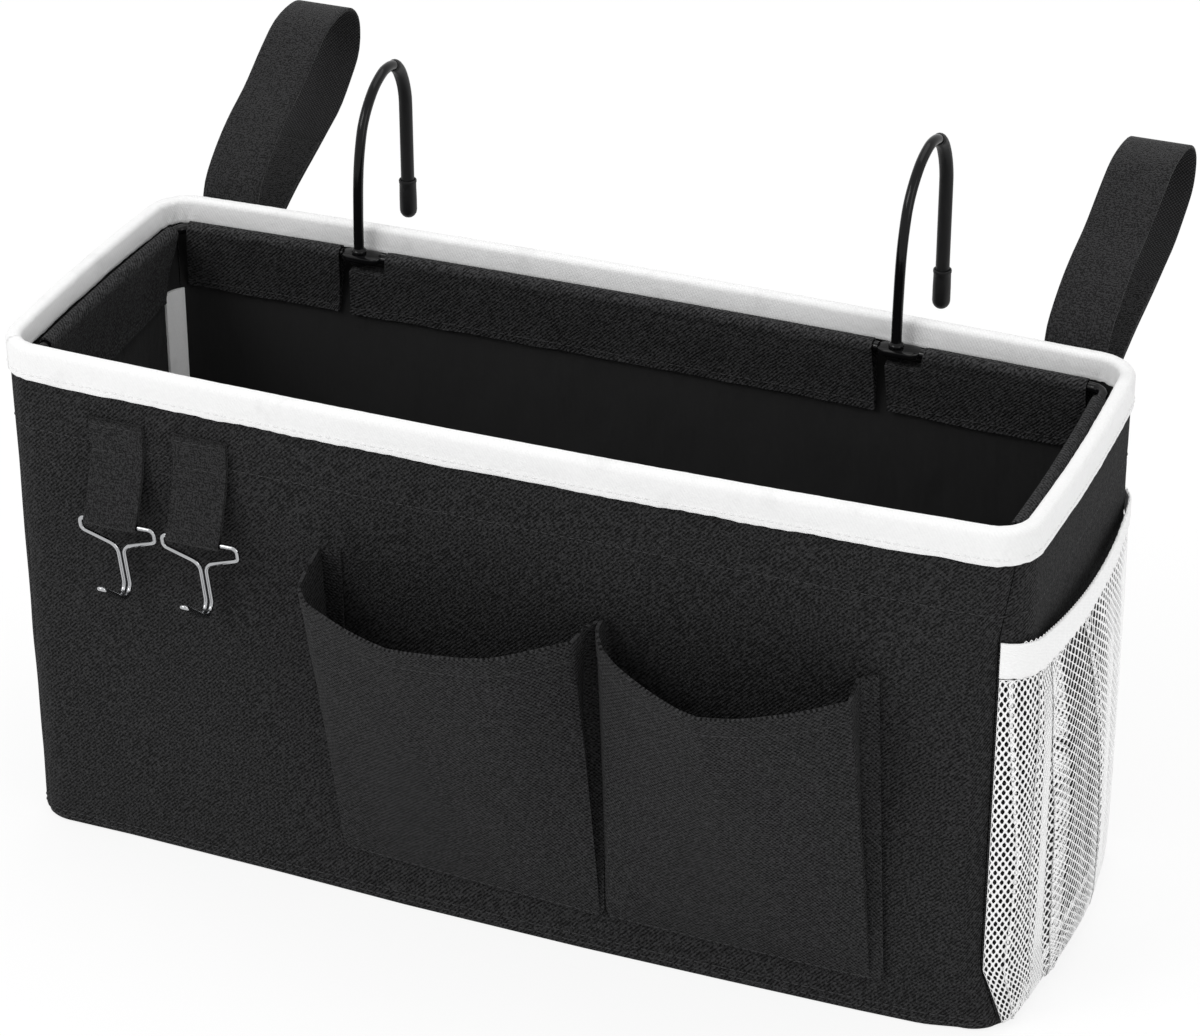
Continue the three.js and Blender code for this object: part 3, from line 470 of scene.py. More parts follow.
def thick_sheet(name, outer, inner, cloth=None, sharp=50):
    """A closed sheet between two grids of points. The outer grid's normals face out."""
    rows, columns, _ = outer.shape
    count = rows * columns
    points = np.concatenate([outer.reshape(-1, 3), inner.reshape(-1, 3)])
    faces = quads(rows, columns)
    faces += quads(rows, columns, offset=count, flip=True)
    top, end = (rows - 1) * columns, columns - 1
    for j in range(columns - 1):
        k = j + 1
        faces.append((j, j + count, k + count, k))
        faces.append((top + j, top + k, top + k + count, top + j + count))
    for i in range(rows - 1):
        a, b = i * columns, (i + 1) * columns
        faces.append((a, b, b + count, a + count))
        faces.append((a + end, a + end + count, b + end + count, b + end))
    uv = grid_cloth(outer) if cloth is None else cloth
    uv = np.concatenate([uv.reshape(-1, 2)] * 2)
    return add_mesh(name, points, faces, uv, sharp)


def cloth_sheet(name, grid, thickness, cloth, sharp=60):
    """A closed sheet of even thickness round a middle grid."""
    normals = grid_normals(grid)
    outer = grid + normals * thickness / 2
    inner = grid - normals * thickness / 2
    return thick_sheet(name, outer, inner, cloth, sharp)


def run_length(points):
    """Distance along a line of points, at each of them."""
    return np.concatenate([[0], np.cumsum(np.linalg.norm(np.diff(points, axis=0), axis=1))])


def sample(at, reach, points):
    """Places on a line of points at distances along it."""
    return np.stack([np.interp(at, reach, column) for column in points.T], -1)


def resample(points, step):
    """Points at even steps along a line of points."""
    points = np.asarray(points, float)
    reach = run_length(points)
    count = max(2, int(round(reach[-1] / step)) + 1)
    return sample(np.linspace(0, reach[-1], count), reach, points)


def curve_point(points, place):
    """Point of the curve through a list of points, at a place counted in points."""
    i = min(int(place), len(points) - 2)
    t = place - i
    a, b, c, d = (points[min(max(k, 0), len(points) - 1)] for k in range(i - 1, i + 3))
    rise, fall = (c - a) / 2, (d - b) / 2
    return ((2 * b - 2 * c + rise + fall) * t ** 3
            + (-3 * b + 3 * c - 2 * rise - fall) * t ** 2 + rise * t + b)


def spline_points(points, steps):
    """A curve through points, with that many steps in all."""
    points = np.asarray(points, float)
    places = np.linspace(0, len(points) - 1, steps + 1)
    return np.array([curve_point(points, place) for place in places])


def line_sides(path):
    """Two sides of a path at each of its points, turned as little as possible."""
    path = np.asarray(path, float)
    tangent = np.gradient(path, axis=0)
    tangent /= np.linalg.norm(tangent, axis=1, keepdims=True)
    start = np.array([1.0, 0.0, 0.0])
    if abs(tangent[0] @ start) > 0.8:
        start = np.array([0.0, 1.0, 0.0])
    side = start - tangent[0] * (tangent[0] @ start)
    sides = []
    for t in tangent:
        side = side - t * (t @ side)
        side = side / np.linalg.norm(side)
        sides.append(side.copy())
    sides = np.array(sides)
    return sides, np.cross(tangent, sides)


def tube_parts(path, radius, sides=14):
    """Points and faces of a tube along a path. Its radius is one number or one for each point."""
    path = np.asarray(path, float)
    radii = np.broadcast_to(np.asarray(radius, float), len(path))
    side, up = line_sides(path)
    angle = np.linspace(0, 2 * math.pi, sides, endpoint=False)
    across, away = np.cos(angle)[None, :, None], np.sin(angle)[None, :, None]
    ring = across * side[:, None] + away * up[:, None]
    points = (path[:, None] + ring * radii[:, None, None]).reshape(-1, 3)
    return points, closed_faces(len(path), sides)


def join_parts(parts):
    points, faces, start = [], [], 0
    for part_points, part_faces in parts:
        points.append(part_points)
        faces += [tuple(i + start for i in face) for face in part_faces]
        start += len(part_points)
    return np.concatenate(points), faces


def lathe_parts(profile, sides=32):
    """Points and faces of a closed turned form, from its profile in radius and height."""
    profile = np.asarray(profile, float)
    angle = np.linspace(0, 2 * math.pi, sides, endpoint=False)
    ring = profile[:, 0, None] * np.stack([np.cos(angle), np.sin(angle)])[:, None]
    heights = np.broadcast_to(profile[:, 1, None], ring[0].shape)
    points = np.stack([ring[0], ring[1], heights], -1).reshape(-1, 3)
    return points, closed_faces(len(profile), sides)


def stitch_row(line, normals):
    """Points and faces of stitches that lie along a line on a cloth's face."""
    length, pitch = size("stitch_length"), size("stitch_pitch")
    radius = size("thread_radius")
    line, normals = np.asarray(line, float), np.asarray(normals, float)
    reach = run_length(line)
    starts = np.arange(0.0, reach[-1] - length, pitch)
    share = np.array([0.0, 0.16, 0.5, 0.84, 1.0])
    lift = np.array([-0.7, 0.45, 0.75, 0.45, -0.7]) * radius
    girth = np.array([0.55, 0.95, 1.0, 0.95, 0.55]) * radius
    parts = []
    for start in starts:
        at = start + share * length
        place, out = sample(at, reach, line), sample(at, reach, normals)
        out /= np.linalg.norm(out, axis=1, keepdims=True)
        parts.append(tube_parts(place + out * lift[:, None], girth, 6))
    return parts


def ripple(place, other, seed, pitches=(61.0, 37.0, 23.0)):
    """A gentle seeded unevenness, from about -1 to 1, over two distances in millimetres."""
    source = np.random.default_rng(seed)
    total = 0.0
    for weight, pitch in zip((0.5, 0.32, 0.18), pitches):
        turns = source.uniform(0, 2 * math.pi, 3)
        bend = 1.3 * np.sin(2 * math.pi * other / (1.7 * pitch) + turns[1])
        cross = 0.3 * weight * np.sin(2 * math.pi * other / (1.3 * pitch) + turns[2])
        total = total + weight * np.sin(2 * math.pi * place / pitch + turns[0] + bend)
        total = total + cross
    return total


# ---- Walls of the box ----

def half_length(z):
    """Half the box's length at a height."""
    return BASE_HALF + (TOP_HALF - BASE_HALF) * z / WALL_TOP


def straight_half(wall, z):
    """Half of a wall's straight run, between its corners."""
    return (half_length(z) if WALLS[wall][1] else HALF_DEPTH) - CORNER_RADIUS


def on_wall(wall, share, turn, inset, z):
    """Points of a wall at a share of its straight run, a corner turn, an inset and a height."""
    given = (np.asarray(value, float) for value in (share, turn, inset, z))
    share, turn, inset, z = np.broadcast_arrays(*given)
    turned, is_long = WALLS[wall]
    reach = half_length(z)
    climb = np.maximum(0, (z - BOW_START) / (WALL_TOP - BOW_START))
    bow = (LONG_BOW if is_long else END_BOW) * climb ** 2 * (1 - share ** 2)
    arm = CORNER_RADIUS - inset
    along = share * straight_half(wall, z) + np.sign(share) * arm * np.sin(turn)
    away = (HALF_DEPTH if is_long else reach) - CORNER_RADIUS + arm * np.cos(turn) + bow
    c, s = round(math.cos(turned * math.pi / 2)), round(math.sin(turned * math.pi / 2))
    return np.stack([along * c + away * s, along * s - away * c, z], -1)


def wall_run(wall, turn=CORNER_MIDDLE, start=-1.0, end=1.0, step=4.0, corner_steps=8):
    """Shares, turns and distances of a run of points along a wall and round its corners."""
    straight = float(straight_half(wall, 100.0))
    steps = max(2, int(round((end - start) * straight / step)))
    shares = np.linspace(start, end, steps + 1)
    turns = np.zeros(steps + 1)
    if turn > 0:
        bend = np.linspace(turn, 0, corner_steps, endpoint=False)
        shares = np.concatenate([np.full(corner_steps, start), shares, np.full(corner_steps, end)])
        turns = np.concatenate([bend, turns, bend[::-1]])
    distance = shares * straight + np.sign(shares) * CORNER_RADIUS * turns
    return shares, turns, distance


def wall_normals(wall, shares, turns):
    """Directions straight out of a wall."""
    turned = WALLS[wall][0] * math.pi / 2
    angle = turned + np.sign(shares) * turns
    return np.stack([np.sin(angle), -np.cos(angle), np.zeros(len(angle))], -1)


def wall_stitches(wall, z, inset, turn=0.6):
    """A row of stitches along a wall's outside at one height."""
    shares, turns, _ = wall_run(wall, turn, step=3.0, corner_steps=6)
    line = on_wall(wall, shares, turns, inset - foot_flare(wall, shares, z), z)
    return stitch_row(line, wall_normals(wall, shares, turns))


# Height and turn of the front right seam, in degrees from the end wall's own direction
SEAM_TURNS = [(0, 34), (3, 36), (28, 65), (165, 65), (200, 45), (209, 45)]


def seam_turn(z):
    """Turn of the front right seam at a height."""
    heights, turns = np.array(SEAM_TURNS).T
    return np.radians(np.interp(z, heights, turns))


# Share along the front wall, and how far the foot of its cloth stands out
FOOT_FLARE = [
    (-1, 0), (-0.85, 0), (-0.5, 1.8), (-0.2, 4), (0.2, 5), (0.5, 4.6), (0.8, 3.8), (0.93, 3),
    (1, 0),
]


def foot_flare(wall, shares, z):
    """How far the cloth stands out at places near the foot of a wall."""
    reach = np.interp(shares, *np.array(FOOT_FLARE).T) if wall == "front" else 0.0
    return reach * np.clip(1 - np.asarray(z) / 15, 0, 1) ** 1.5


def cloth_turns(wall, shares, turns, heights):
    """Corner turns of a wall's cloth, with the front right seam at its own turn."""
    share_of_corner = seam_turn(heights) / CORNER_MIDDLE
    if wall == "front":
        return np.where(shares > 0, turns * (2 - share_of_corner), turns)
    if wall == "right":
        return np.where(shares < 0, turns * share_of_corner, turns)
    return turns * np.ones_like(heights)


def build_shell():
    """Outer cloth of the four walls and the base, with its seams."""
    canvas_cloth = canvas("shell_canvas", colour("shell"), size("weave_pitch") * MM)
    thread = thread_finish("black_thread", colour("thread"))
    heights = np.concatenate([
        [0, 0.15, 0.5, 1.1, 1.9, 2.6, 3.4, 4.5, 5.6, 6.8, 9, 12],
        np.arange(16, 168, 5),
        [171, 173.5, 175, 176.5, 179, 183, 188, 193, 196, 200, 204, WALL_TOP],
    ])[:, None]
    edge = 2.0
    foot = edge - np.sqrt(np.maximum(0, edge ** 2 - np.maximum(0, edge - heights) ** 2))
    foot_rows, upper_row = (2.6, 5.0), 175.0
    for number, wall in enumerate(WALLS):
        shares, turns, distance = wall_run(wall, CORNER_MIDDLE - 0.012)
        reach = abs(distance[0])
        seam = np.exp(-((reach - np.abs(distance)) / 1.3) ** 2)[None]
        free = np.clip((192 - heights) / 40, 0, 1) * np.clip(heights / 25, 0, 1)
        uneven = 0.32 * ripple(distance[None], heights, 11 + number) * free
        hem = np.exp(-((heights - upper_row) / 2.2) ** 2) + np.exp(-((heights - 4.6) / 1.6) ** 2)
        tugs = size("pucker") * hem * (0.55 + 0.45 * np.sin(2 * math.pi * distance[None] / 7.3))
        flare = foot_flare(wall, shares, heights)
        bends = cloth_turns(wall, shares, turns, heights)
        outside = foot - flare * np.ones_like(seam) + 0.45 * seam + tugs * 0.8 - uneven
        outer = on_wall(wall, shares, bends, outside, heights)
        inner = on_wall(wall, shares, bends, np.maximum(0.8, foot + 0.5) - flare, heights)
        cloth = np.stack(np.broadcast_arrays(distance[None], heights), -1)
        shell = thick_sheet(f"{wall}_cloth", outer, inner, cloth=cloth)
        dress(shell, canvas_cloth, replaced=[f"{wall}_panel"])
        parts = []
        for z in foot_rows:
            parts += wall_stitches(wall, z, 0.1)
        parts += wall_stitches(wall, upper_row, 0.2)
        points, faces = join_parts(parts)
        dress(add_mesh(f"{wall}_stitches", points, faces), thread)
    base = flat_floor("base_cloth", 1.4, 0.0, 0.8, 0.12, 5)
    dress(base, canvas_cloth, replaced=["base_panel"])


def flat_floor(name, inset, low, high, wave, seed):
    """A sheet across the base, rounded at its corners like the walls."""
    depth = HALF_DEPTH - inset
    radius = CORNER_RADIUS - inset
    turn = np.linspace(0, math.pi / 2, 7)
    edge_y = depth - radius + radius * np.sin(turn)
    straight_y = np.linspace(-depth + radius, depth - radius, 26)[1:-1]
    y = np.concatenate([-edge_y[::-1], straight_y, edge_y])
    over = np.maximum(0, np.abs(y) - (depth - radius))
    half = BASE_HALF - inset - radius + np.sqrt(np.maximum(0, radius ** 2 - over ** 2))
    share = np.linspace(-1, 1, 71)
    x = share[None] * half[:, None]
    y = np.broadcast_to(y[:, None], x.shape)
    y = y - foot_flare("front", x / (BASE_HALF - CORNER_RADIUS), low) * np.clip(-y / depth, 0, 1)
    fade = (1 - share[None] ** 8) * (1 - (y / depth) ** 8)
    top = high + wave * ripple(x, y, seed) * fade
    outer = np.stack([x, y, top], -1)
    inner = np.stack([x, y, np.full_like(x, low)], -1)
    return thick_sheet(name, outer, inner)


def build_lining():
    """Smooth lining of the walls and floor, with the slack folds of a sewn-in lining."""
    lining = smooth_lining("black_lining", colour("lining"))
    heights = [[3.95, 5.2, 7, 10], np.arange(14, 200, 5.5), [WALL_TOP - 1.2]]
    heights = np.concatenate(heights)[:, None]
    for number, wall in enumerate(WALLS):
        shares, turns, distance = wall_run(wall, CORNER_MIDDLE - 0.02, step=4.5)
        reach = abs(distance[0])
        free = np.clip((168 - heights) / 45, 0, 1) * np.clip((heights - 4) / 30, 0, 1)
        free = free * np.clip((reach - 24 - np.abs(distance[None])) / 30, 0, 1)
        folds = ripple(distance[None] + 0.22 * heights, heights, 31 + number, (83.0, 47.0, 19.0))
        slack = free * (0.55 + 0.75 * folds)
        inner = on_wall(wall, shares, turns, WALL_THICKNESS + np.maximum(slack, -0.2), heights)
        outer = on_wall(wall, shares, turns, 3.45, heights)
        cloth = np.stack(np.broadcast_arrays(distance[None], heights), -1)
        sheet = thick_sheet(f"{wall}_lining_cloth", outer, inner, cloth=cloth)
        dress(sheet, lining, replaced=[f"{wall}_lining"])
    floor = flat_floor("floor_lining_cloth", 4.6, 3.45, 3.95, 0.25, 6)
    dress(floor, lining, replaced=["base_lining"])
    board = stiff_board("board_sheet", colour("board"))
    for node in ["base_board", *(f"{wall}_board" for wall in WALLS)]:
        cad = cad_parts[node]
        cad.data.materials.clear()
        cad.data.materials.append(board)


# ---- Tapes ----

def ring_run():
    """Every wall's run in turn, for a band that goes once round the box."""
    runs, start = [], 0.0
    for wall in WALLS:
        shares, turns, distance = wall_run(wall, step=3.0, corner_steps=10)
        runs.append((wall, shares[:-1], turns[:-1], start + distance[:-1] - distance[0]))
        start += distance[-1] - distance[0]
    return runs


def around(place):
    """Points round the box, from a rule that gives insets and heights at distances along it."""
    columns = []
    for wall, shares, turns, distance in ring_run():
        inset, z = place(turns, distance)
        columns.append(on_wall(wall, shares, turns, inset, z))
    return np.concatenate(columns, axis=1)


def build_binding():
    """White tape folded over the rim, with its stitches."""
    tape = ribbed_tape("white_binding", colour("tape"), size("tape_rib") * MM)
    thread = thread_finish("white_thread", colour("tape"))
    bends = [(1 - math.cos(t), 1 - math.sin(t)) for t in np.radians([0, 22, 45, 68, 90])]
    outer_arc = [(-1.1 + 2.6 * away, RIM_TOP - 2.6 * down) for away, down in bends]
    inner_arc = [(5.0 - 2.2 * away, RIM_TOP - 2.2 * down) for away, down in bends[::-1]]
    face = [(-0.95, 195.5), (-1.12, 195.9), (-1.15, 197.2), (-1.0, 198.0), (-1.08, 200),
            (-1.1, 203), *outer_arc, (1.9, RIM_TOP + 0.05), (2.5, RIM_TOP), *inner_arc,
            (5.0, 204.5), (5.05, 202), (4.92, 201.2), (5.08, 200.4), (5.0, 199.3), (4.9, 199.0)]
    behind = [(4.25, 199.0), (4.2, 201), (4.2, 208.1), (2.0, 208.15), (-0.25, 208.1), (-0.3, 203),
              (-0.3, 195.5)]
    section = np.array(face + behind)
    reach = run_length(section)
    order = np.arange(len(section))
    outer_edge = ((order < 4) | (order == order[-1]))[:, None]
    inner_edge = ((order >= len(face) - 4) & (order <= len(face)))[:, None]
    fold = ((order >= 4) & (order < len(face) - 5))[:, None]

    def place(turns, distance):
        corner = np.abs(turns) > 0
        round_trip = 2 * math.pi * distance
        puckers = np.sin(round_trip / 6.1) + 0.6 * np.sin(round_trip / 3.7 + 1)
        slow = ripple(distance, distance * 0.4, 71, (53.0, 29.0, 17.0))
        drop = 0.35 * slow + 0.12 * puckers
        out = 0.08 * slow + 0.05 * puckers
        squeeze = np.where(corner, 0.35 * np.sin(distance / 1.1), 0)
        inset = section[:, 0, None] - fold * np.sign(2 - section[:, 0, None]) * out
        z = section[:, 1, None] + outer_edge * drop + inner_edge * (drop * 0.8 + squeeze)
        return inset + inner_edge * squeeze * 0.6, z

    grid = around(place)
    rows, columns, _ = grid.shape
    faces = quads(rows, columns, True)
    last = (rows - 1) * columns
    faces += [(last + j, last + (j + 1) % columns, (j + 1) % columns, j) for j in range(columns)]
    distance = np.concatenate([run[3] for run in ring_run()])
    cloth = np.stack(np.broadcast_arrays(distance[None], reach[:, None]), -1).reshape(-1, 2)
    binding = add_mesh("binding_tape", grid.reshape(-1, 3), faces, cloth, 60)
    dress(binding, tape, replaced=["rim_binding"])
    parts = []
    for wall in WALLS:
        parts += wall_stitches(wall, 198.0, -1.02, 0.7)
    points, faces = join_parts(parts)
    dress(add_mesh("binding_stitches", points, faces), thread)


def build_seam_tapes():
    """White tape over each inner corner seam."""
    # Painted light: the seam tape's colour is paler than the binding's, standing in for light
    # inside the shaded box
    tape = ribbed_tape("seam_tape_painted_light", colour("seam_tape"), size("tape_rib") * MM)
    heights = np.concatenate([[4.3, 6], np.arange(12, 166, 6), [170.5]])[:, None]
    names = list(WALLS)
    for number, wall in enumerate(names):
        after = names[(number + 1) % 4]
        lean = np.linspace(-25, 25, 11)
        aside = 18 + 2 * (1 - heights / 170) if wall == "back" else 0 * heights
        angle = CORNER_MIDDLE + np.radians(lean[None] + aside)
        uneven = ripple(heights, lean[None], 41 + number, (40.0, 17.0, 9.0))
        lift = 0.3 * np.sin(np.radians(lean) * 7) + 0.25 * uneven
        inset = 4.3 + 0.9 + np.maximum(lift, -0.3) * 0.5
        back = np.full_like(inset, 4.25)

        def corner(depth):
            first = on_wall(wall, 1.0, angle, depth, heights)
            second = on_wall(after, -1.0, math.pi / 2 - angle, depth, heights)
            return np.where((angle < CORNER_MIDDLE)[..., None], first, second)

        sheet = thick_sheet(f"corner_tape_{wall}_{after}", corner(back), corner(inset))
        dress(sheet, tape, replaced=[f"seam_tape_{wall}_{after}"])


# ---- Frame, sleeves and hooks ----

def build_frame():
    """Wire ring under the rim, with the flat eye that each hook turns in."""
    enamel = gloss_enamel("frame_enamel", colour("enamel"))
    ring = around(lambda turns, _: (np.full((1, len(turns)), FRAME_INSET), FRAME_Z))[0]
    half = EYE["length"] / 2 - 0.6
    eyes = {side: np.array([x + EYE["shift"], y, FRAME_Z])
            for side, ((x, y), _, _) in HOOKS.items()}
    left, right = eyes["left"][0], eyes["right"][0]
    back = ring[:, 1] > 50
    middle = ring[back & (ring[:, 0] > left + half) & (ring[:, 0] < right - half)]
    middle = middle[np.argsort(middle[:, 0])]
    first, last = eyes["left"] + [half, 0, 0], eyes["right"] - [half, 0, 0]
    parts = [tube_parts(np.concatenate([[first], middle, [last]]), WIRE_RADIUS, 16)]
    far = ring[~(back & (ring[:, 0] > left - half) & (ring[:, 0] < right + half))]
    gap = np.linalg.norm(np.roll(far, -1, axis=0) - far, axis=1)
    far = np.roll(far, -(int(np.argmax(gap)) + 1), axis=0)
    ends = [eyes["right"] + [half, 0, 0], eyes["left"] - [half, 0, 0]]
    first, last = ends if far[0, 0] > 0 else ends[::-1]
    parts.append(tube_parts(np.concatenate([[first], far, [last]]), WIRE_RADIUS, 16))
    parts += [eye_plate(eye) for eye in eyes.values()]
    points, faces = join_parts(parts)
    dress(add_mesh("frame_ring", points, faces, sharp=40), enamel,
          replaced=["frame_wire"])


def eye_plate(centre):
    """A flat eye with a hole and rounded edges, level at the frame's height."""
    steps = 40
    reach = (EYE["length"] - EYE["width"]) / 2
    angle = np.linspace(0, 2 * math.pi, steps, endpoint=False)
    direction = np.stack([np.cos(angle), np.sin(angle)], -1)
    middle = np.where(np.cos(angle) >= 0, reach, -reach)[:, None] * [1, 0]
    thick = EYE["thickness"] / 2
    round_edge = 0.8
    rows = []
    for level, pull in ((-thick, round_edge), (-thick + 0.25, 0.2), (-thick + round_edge, 0.0),
                        (thick - round_edge, 0.0), (thick - 0.25, 0.2), (thick, round_edge)):
        ring = middle + direction * (EYE["width"] / 2 - pull)
        rows.append(np.column_stack([ring, np.full(steps, level)]))
    hole = HOOK_RADIUS + 0.12
    for level in (thick, -thick):
        ring = direction * hole - [EYE["shift"], 0]
        rows.append(np.column_stack([ring, np.full(steps, level)]))
    points = np.concatenate(rows) + centre
    faces = quads(len(rows), steps, True)
    last = (len(rows) - 1) * steps
    faces += [(last + j, last + (j + 1) % steps, (j + 1) % steps, j) for j in range(steps)]
    return points, faces


def sleeve_profile(notched):
    """Middle line of a sleeve's cloth: up the wall, over the wire and down to its foot again."""
    turns = np.radians(np.linspace(165, -35, 12))
    loop = [(FRAME_INSET + 2.72 * math.cos(t), FRAME_Z + 2.72 * math.sin(t)) for t in turns]
    line = [(4.66, 171.0), (4.68, 176), (4.75, 182), (4.95, 188), (5.35, 192.5), (5.9, 196.2),
            *loop, (12.2, 195.4), (11.3, 192), (9.9, 187.5), (8.3, 182.5), (7.0, 177.5), (6.3, 174),
            (6.02, 172.2), (6.05, 171.0)]
    line = np.array(line)
    if notched:
        over = np.maximum(0, line[:, 1] - 192.5)
        line[:, 0] = np.where(over > 0, np.clip(line[:, 0], 5.3, 9.2), line[:, 0])
        line[:, 1] = np.minimum(line[:, 1], 192.5 + 0.05 * over)
    return line


def build_sleeves():
    """Cloth sleeves that hold the frame wire to the walls."""
    # Painted light: the sleeves get the shell's canvas made 1.5 times paler, standing in for light
    # that falls inside the rim
    pale = (*(1.5 * c for c in colour("shell")[:3]), 1.0)
    cloth = canvas("sleeve_canvas_painted_light", pale, size("weave_pitch") * MM)
    thread = thread_finish("sleeve_thread", colour("thread"))
    plain, notched = sleeve_profile(False), sleeve_profile(True)
    depth = run_length(plain)
    pieces = [("front_sleeve", "front", None), ("left_sleeve", "left", None),
              ("right_sleeve", "right", None), ("back_sleeve_left", "back", (-184.0, -119.0)),
              ("back_sleeve_middle", "back", (-114.6, 98.6)),
              ("back_sleeve_right", "back", (103.6, 181.5))]
    slants = {"back_sleeve_left": (-4.5, -4.0), "back_sleeve_middle": (-3.5, 0)}
    notches = {"back_sleeve_middle": (-121.0, -100.6), "back_sleeve_right": (100.0, 118.4)}
    for number, (name, wall, ends) in enumerate(pieces):
        straight = float(straight_half(wall, FRAME_Z))
        if ends is None:
            start, end = -1 + (1.5 if wall == "left" else 5) / straight, 1 - 5 / straight
        else:
            start, end = -ends[1] / straight, -ends[0] / straight
        shares, turns, distance = wall_run(wall, 0, start, end, 2.2)
        inset = np.repeat(plain[:, 0, None], len(shares), 1)
        z = np.repeat(plain[:, 1, None], len(shares), 1)
        slack = ripple(distance, distance * 0.3, 51 + number, (47.0, 23.0, 13.0))
        front = np.clip((np.arange(len(plain)) - 16) / 4, 0, 1) * np.clip(
            (len(plain) - 1 - np.arange(len(plain))) / 3, 0, 1)
        inset += front[:, None] * (0.55 * slack[None] + 0.2)
        foot = np.clip((183 - plain[:, 1]) / 12, 0, 1)[:, None]
        drop = np.clip((FRAME_Z - plain[:, 1]) / 28, 0, 1)[:, None]
        first, last = slants.get(name, (0, 0))
        lean = (first * np.clip(1 - (distance.max() - distance) / 8, 0, 1)
                + last * np.clip(1 - (distance - distance.min()) / 8, 0, 1))
        z += foot * (0.35 * slack[None] + 0.8 * (distance[None] / straight) * (wall == "back"))
        if wall == "left":
            z -= foot * (3 + 3.5 * np.clip((53 + distance[None]) / 40, 0, 1))
        if name in notches:
            low, high = notches[name]
            inside = (-distance > low) & (-distance < high)
            inset[:, inside] = notched[:, 0, None]
            z[:, inside] = notched[:, 1, None]
        grid = on_wall(wall, shares - drop * lean / straight, turns, inset, z)
        uv = np.stack(np.broadcast_arrays(distance[None], depth[:, None]), -1)
        sheet = cloth_sheet(f"{name}_cloth", grid, SLEEVE_CLOTH, uv)
        dress(sheet, cloth, replaced=[name])
        normals = -wall_normals(wall, shares, turns)
        points, faces = join_parts(stitch_row(grid[-3] + normals * 0.42, normals))
        dress(add_mesh(f"{name}_stitches", points, faces), thread)


# Arch of a hook: share of its reach to the back, and share of its rise above the frame
HOOK_SHARES = [
    (0, 0.05), (0.004, 0.2), (0.014, 0.33), (0.026, 0.44), (0.05, 0.56), (0.09, 0.67),
    (0.148, 0.775), (0.245, 0.866), (0.385, 0.947), (0.54, 0.992), (0.665, 1), (0.79, 0.978),
    (0.885, 0.92), (0.955, 0.83), (0.993, 0.735), (1, 0.65),
]
HOOK_STEPS = 120
HOOK_COVERED = 87
HOOK_REACH = 46.8
HOOK_TIP_Z = 195.0


def hook_route(rise):
    """Centre line of a hook whose stem is on the Z axis, and the part under its sleeve."""
    shares = np.array(HOOK_SHARES)
    arch = spline_points(shares * [HOOK_REACH, rise] + [0, FRAME_Z], HOOK_STEPS)
    stem = [(0, z) for z in np.linspace(FRAME_Z - 1.4, arch[0, 1], 10)[:-1]]
    leg = [(HOOK_REACH, z) for z in np.linspace(arch[-1, 1], HOOK_TIP_Z + 2.9, 22)[1:]]
    line = np.concatenate([stem, arch, leg])
    route = np.column_stack([np.zeros(len(line)), line])
    return route, route[len(stem) + HOOK_COVERED:]


def tip_cap():
    """Cap with a round end and a lipped mouth, set over the foot of a hook's rear leg."""
    radius, lip, length = 3.45, 3.52, 16.5
    profile = [(0.02, 0.0)]
    profile += [(radius * math.sin(t), radius * (1 - math.cos(t)))
                for t in np.radians([15, 32, 50, 70, 90])]
    profile += [(radius, 9), (radius - 0.08, 13), (radius - 0.08, length - 1.6),
                (lip, length - 1.2), (lip + 0.05, length - 0.6), (lip - 0.05, length - 0.15),
                (lip - 0.4, length), (2.95, length - 0.1), (2.9, length - 0.6), (2.9, 3.2),
                (0.02, 2.6)]
    points, faces = lathe_parts(profile)
    return points + [0, HOOK_REACH, HOOK_TIP_Z], faces


def build_hooks():
    """The two wire hooks, each with its collar, rivet, leg sleeve and cap."""
    enamel = gloss_enamel("hook_enamel", colour("enamel"))
    plastic = matt_plastic("hook_plastic", colour("plastic"))
    collar = [(1.9, 1.3), (2.7, 1.35), (2.9, 1.6), (2.9, 2.2), (2.75, 2.6), (2.35, 2.9),
              (2.05, 3.3), (1.9, 3.4)]
    dome = [(4.3 * math.sin(t), -1.5 - 3 * math.cos(t)) for t in np.radians(range(15, 90, 15))]
    rivet = [(0.02, -4.5), *dome, (4.297, -1.6047), (4.0, -1.42), (0.02, -1.4)]
    collar, rivet = (np.array(profile) + [0, FRAME_Z] for profile in (collar, rivet))
    for side, ((x, y), turn, rise) in HOOKS.items():
        route, covered = hook_route(rise)
        stem = tube_parts(route, HOOK_RADIUS, 18)
        wire = join_parts([stem, lathe_parts(collar), lathe_parts(rivet)])
        girth = np.full(len(covered), 2.66)
        girth[:3] = (2.2, 2.5, 2.63)
        shapes = {
            "hook_wire": (wire, enamel, "enamelled_wire", "hook"),
            "leg_sleeve": (tube_parts(covered, girth, 18), plastic, "black_plastic", "hook_sleeve"),
            "tip_cap": (tip_cap(), plastic, "black_plastic", "hook_cap"),
        }
        c, s = math.cos(turn), math.sin(turn)
        spin = np.array([[c, -s, 0], [s, c, 0], [0, 0, 1]])
        for name, ((points, faces), material, slot, node) in shapes.items():
            piece = add_mesh(f"{name}_{side}", points @ spin.T + [x, y, 0], faces, sharp=40)
            dress(piece, material, f"hook_{side}_body", [f"{node}_{side}"])


# ---- Strap loops ----

# Strap's loop: share of its reach to the back, and share of its height above the rim
STRAP_SHARES = [
    (0.038, 0.115), (0.1475, 0.3085), (0.267, 0.468), (0.399, 0.606), (0.506, 0.743),
    (0.574, 0.826), (0.694, 0.953), (0.812, 0.996), (0.916, 0.977), (0.976, 0.88), (0.999, 0.74),
    (0.981, 0.526), (0.907, 0.355), (0.793, 0.17), (0.656, 0.057), (0.492, -0.081),
    (0.371, -0.189), (0.256, -0.304), (0.142, -0.409),
]
STRAP_WIDTH = 24.0
STRAP_THICKNESS = 1.3
STRAP_GAP = 0.3
STRAP_REACH = 99.0
STRAP_STEPS = 48

# Straps: place along the rim, turn, and height of the loop above the rim
STRAPS = {"left": (-172.5, 0.0, 47.0), "right": (172.5, math.radians(2.6), 43.5)}

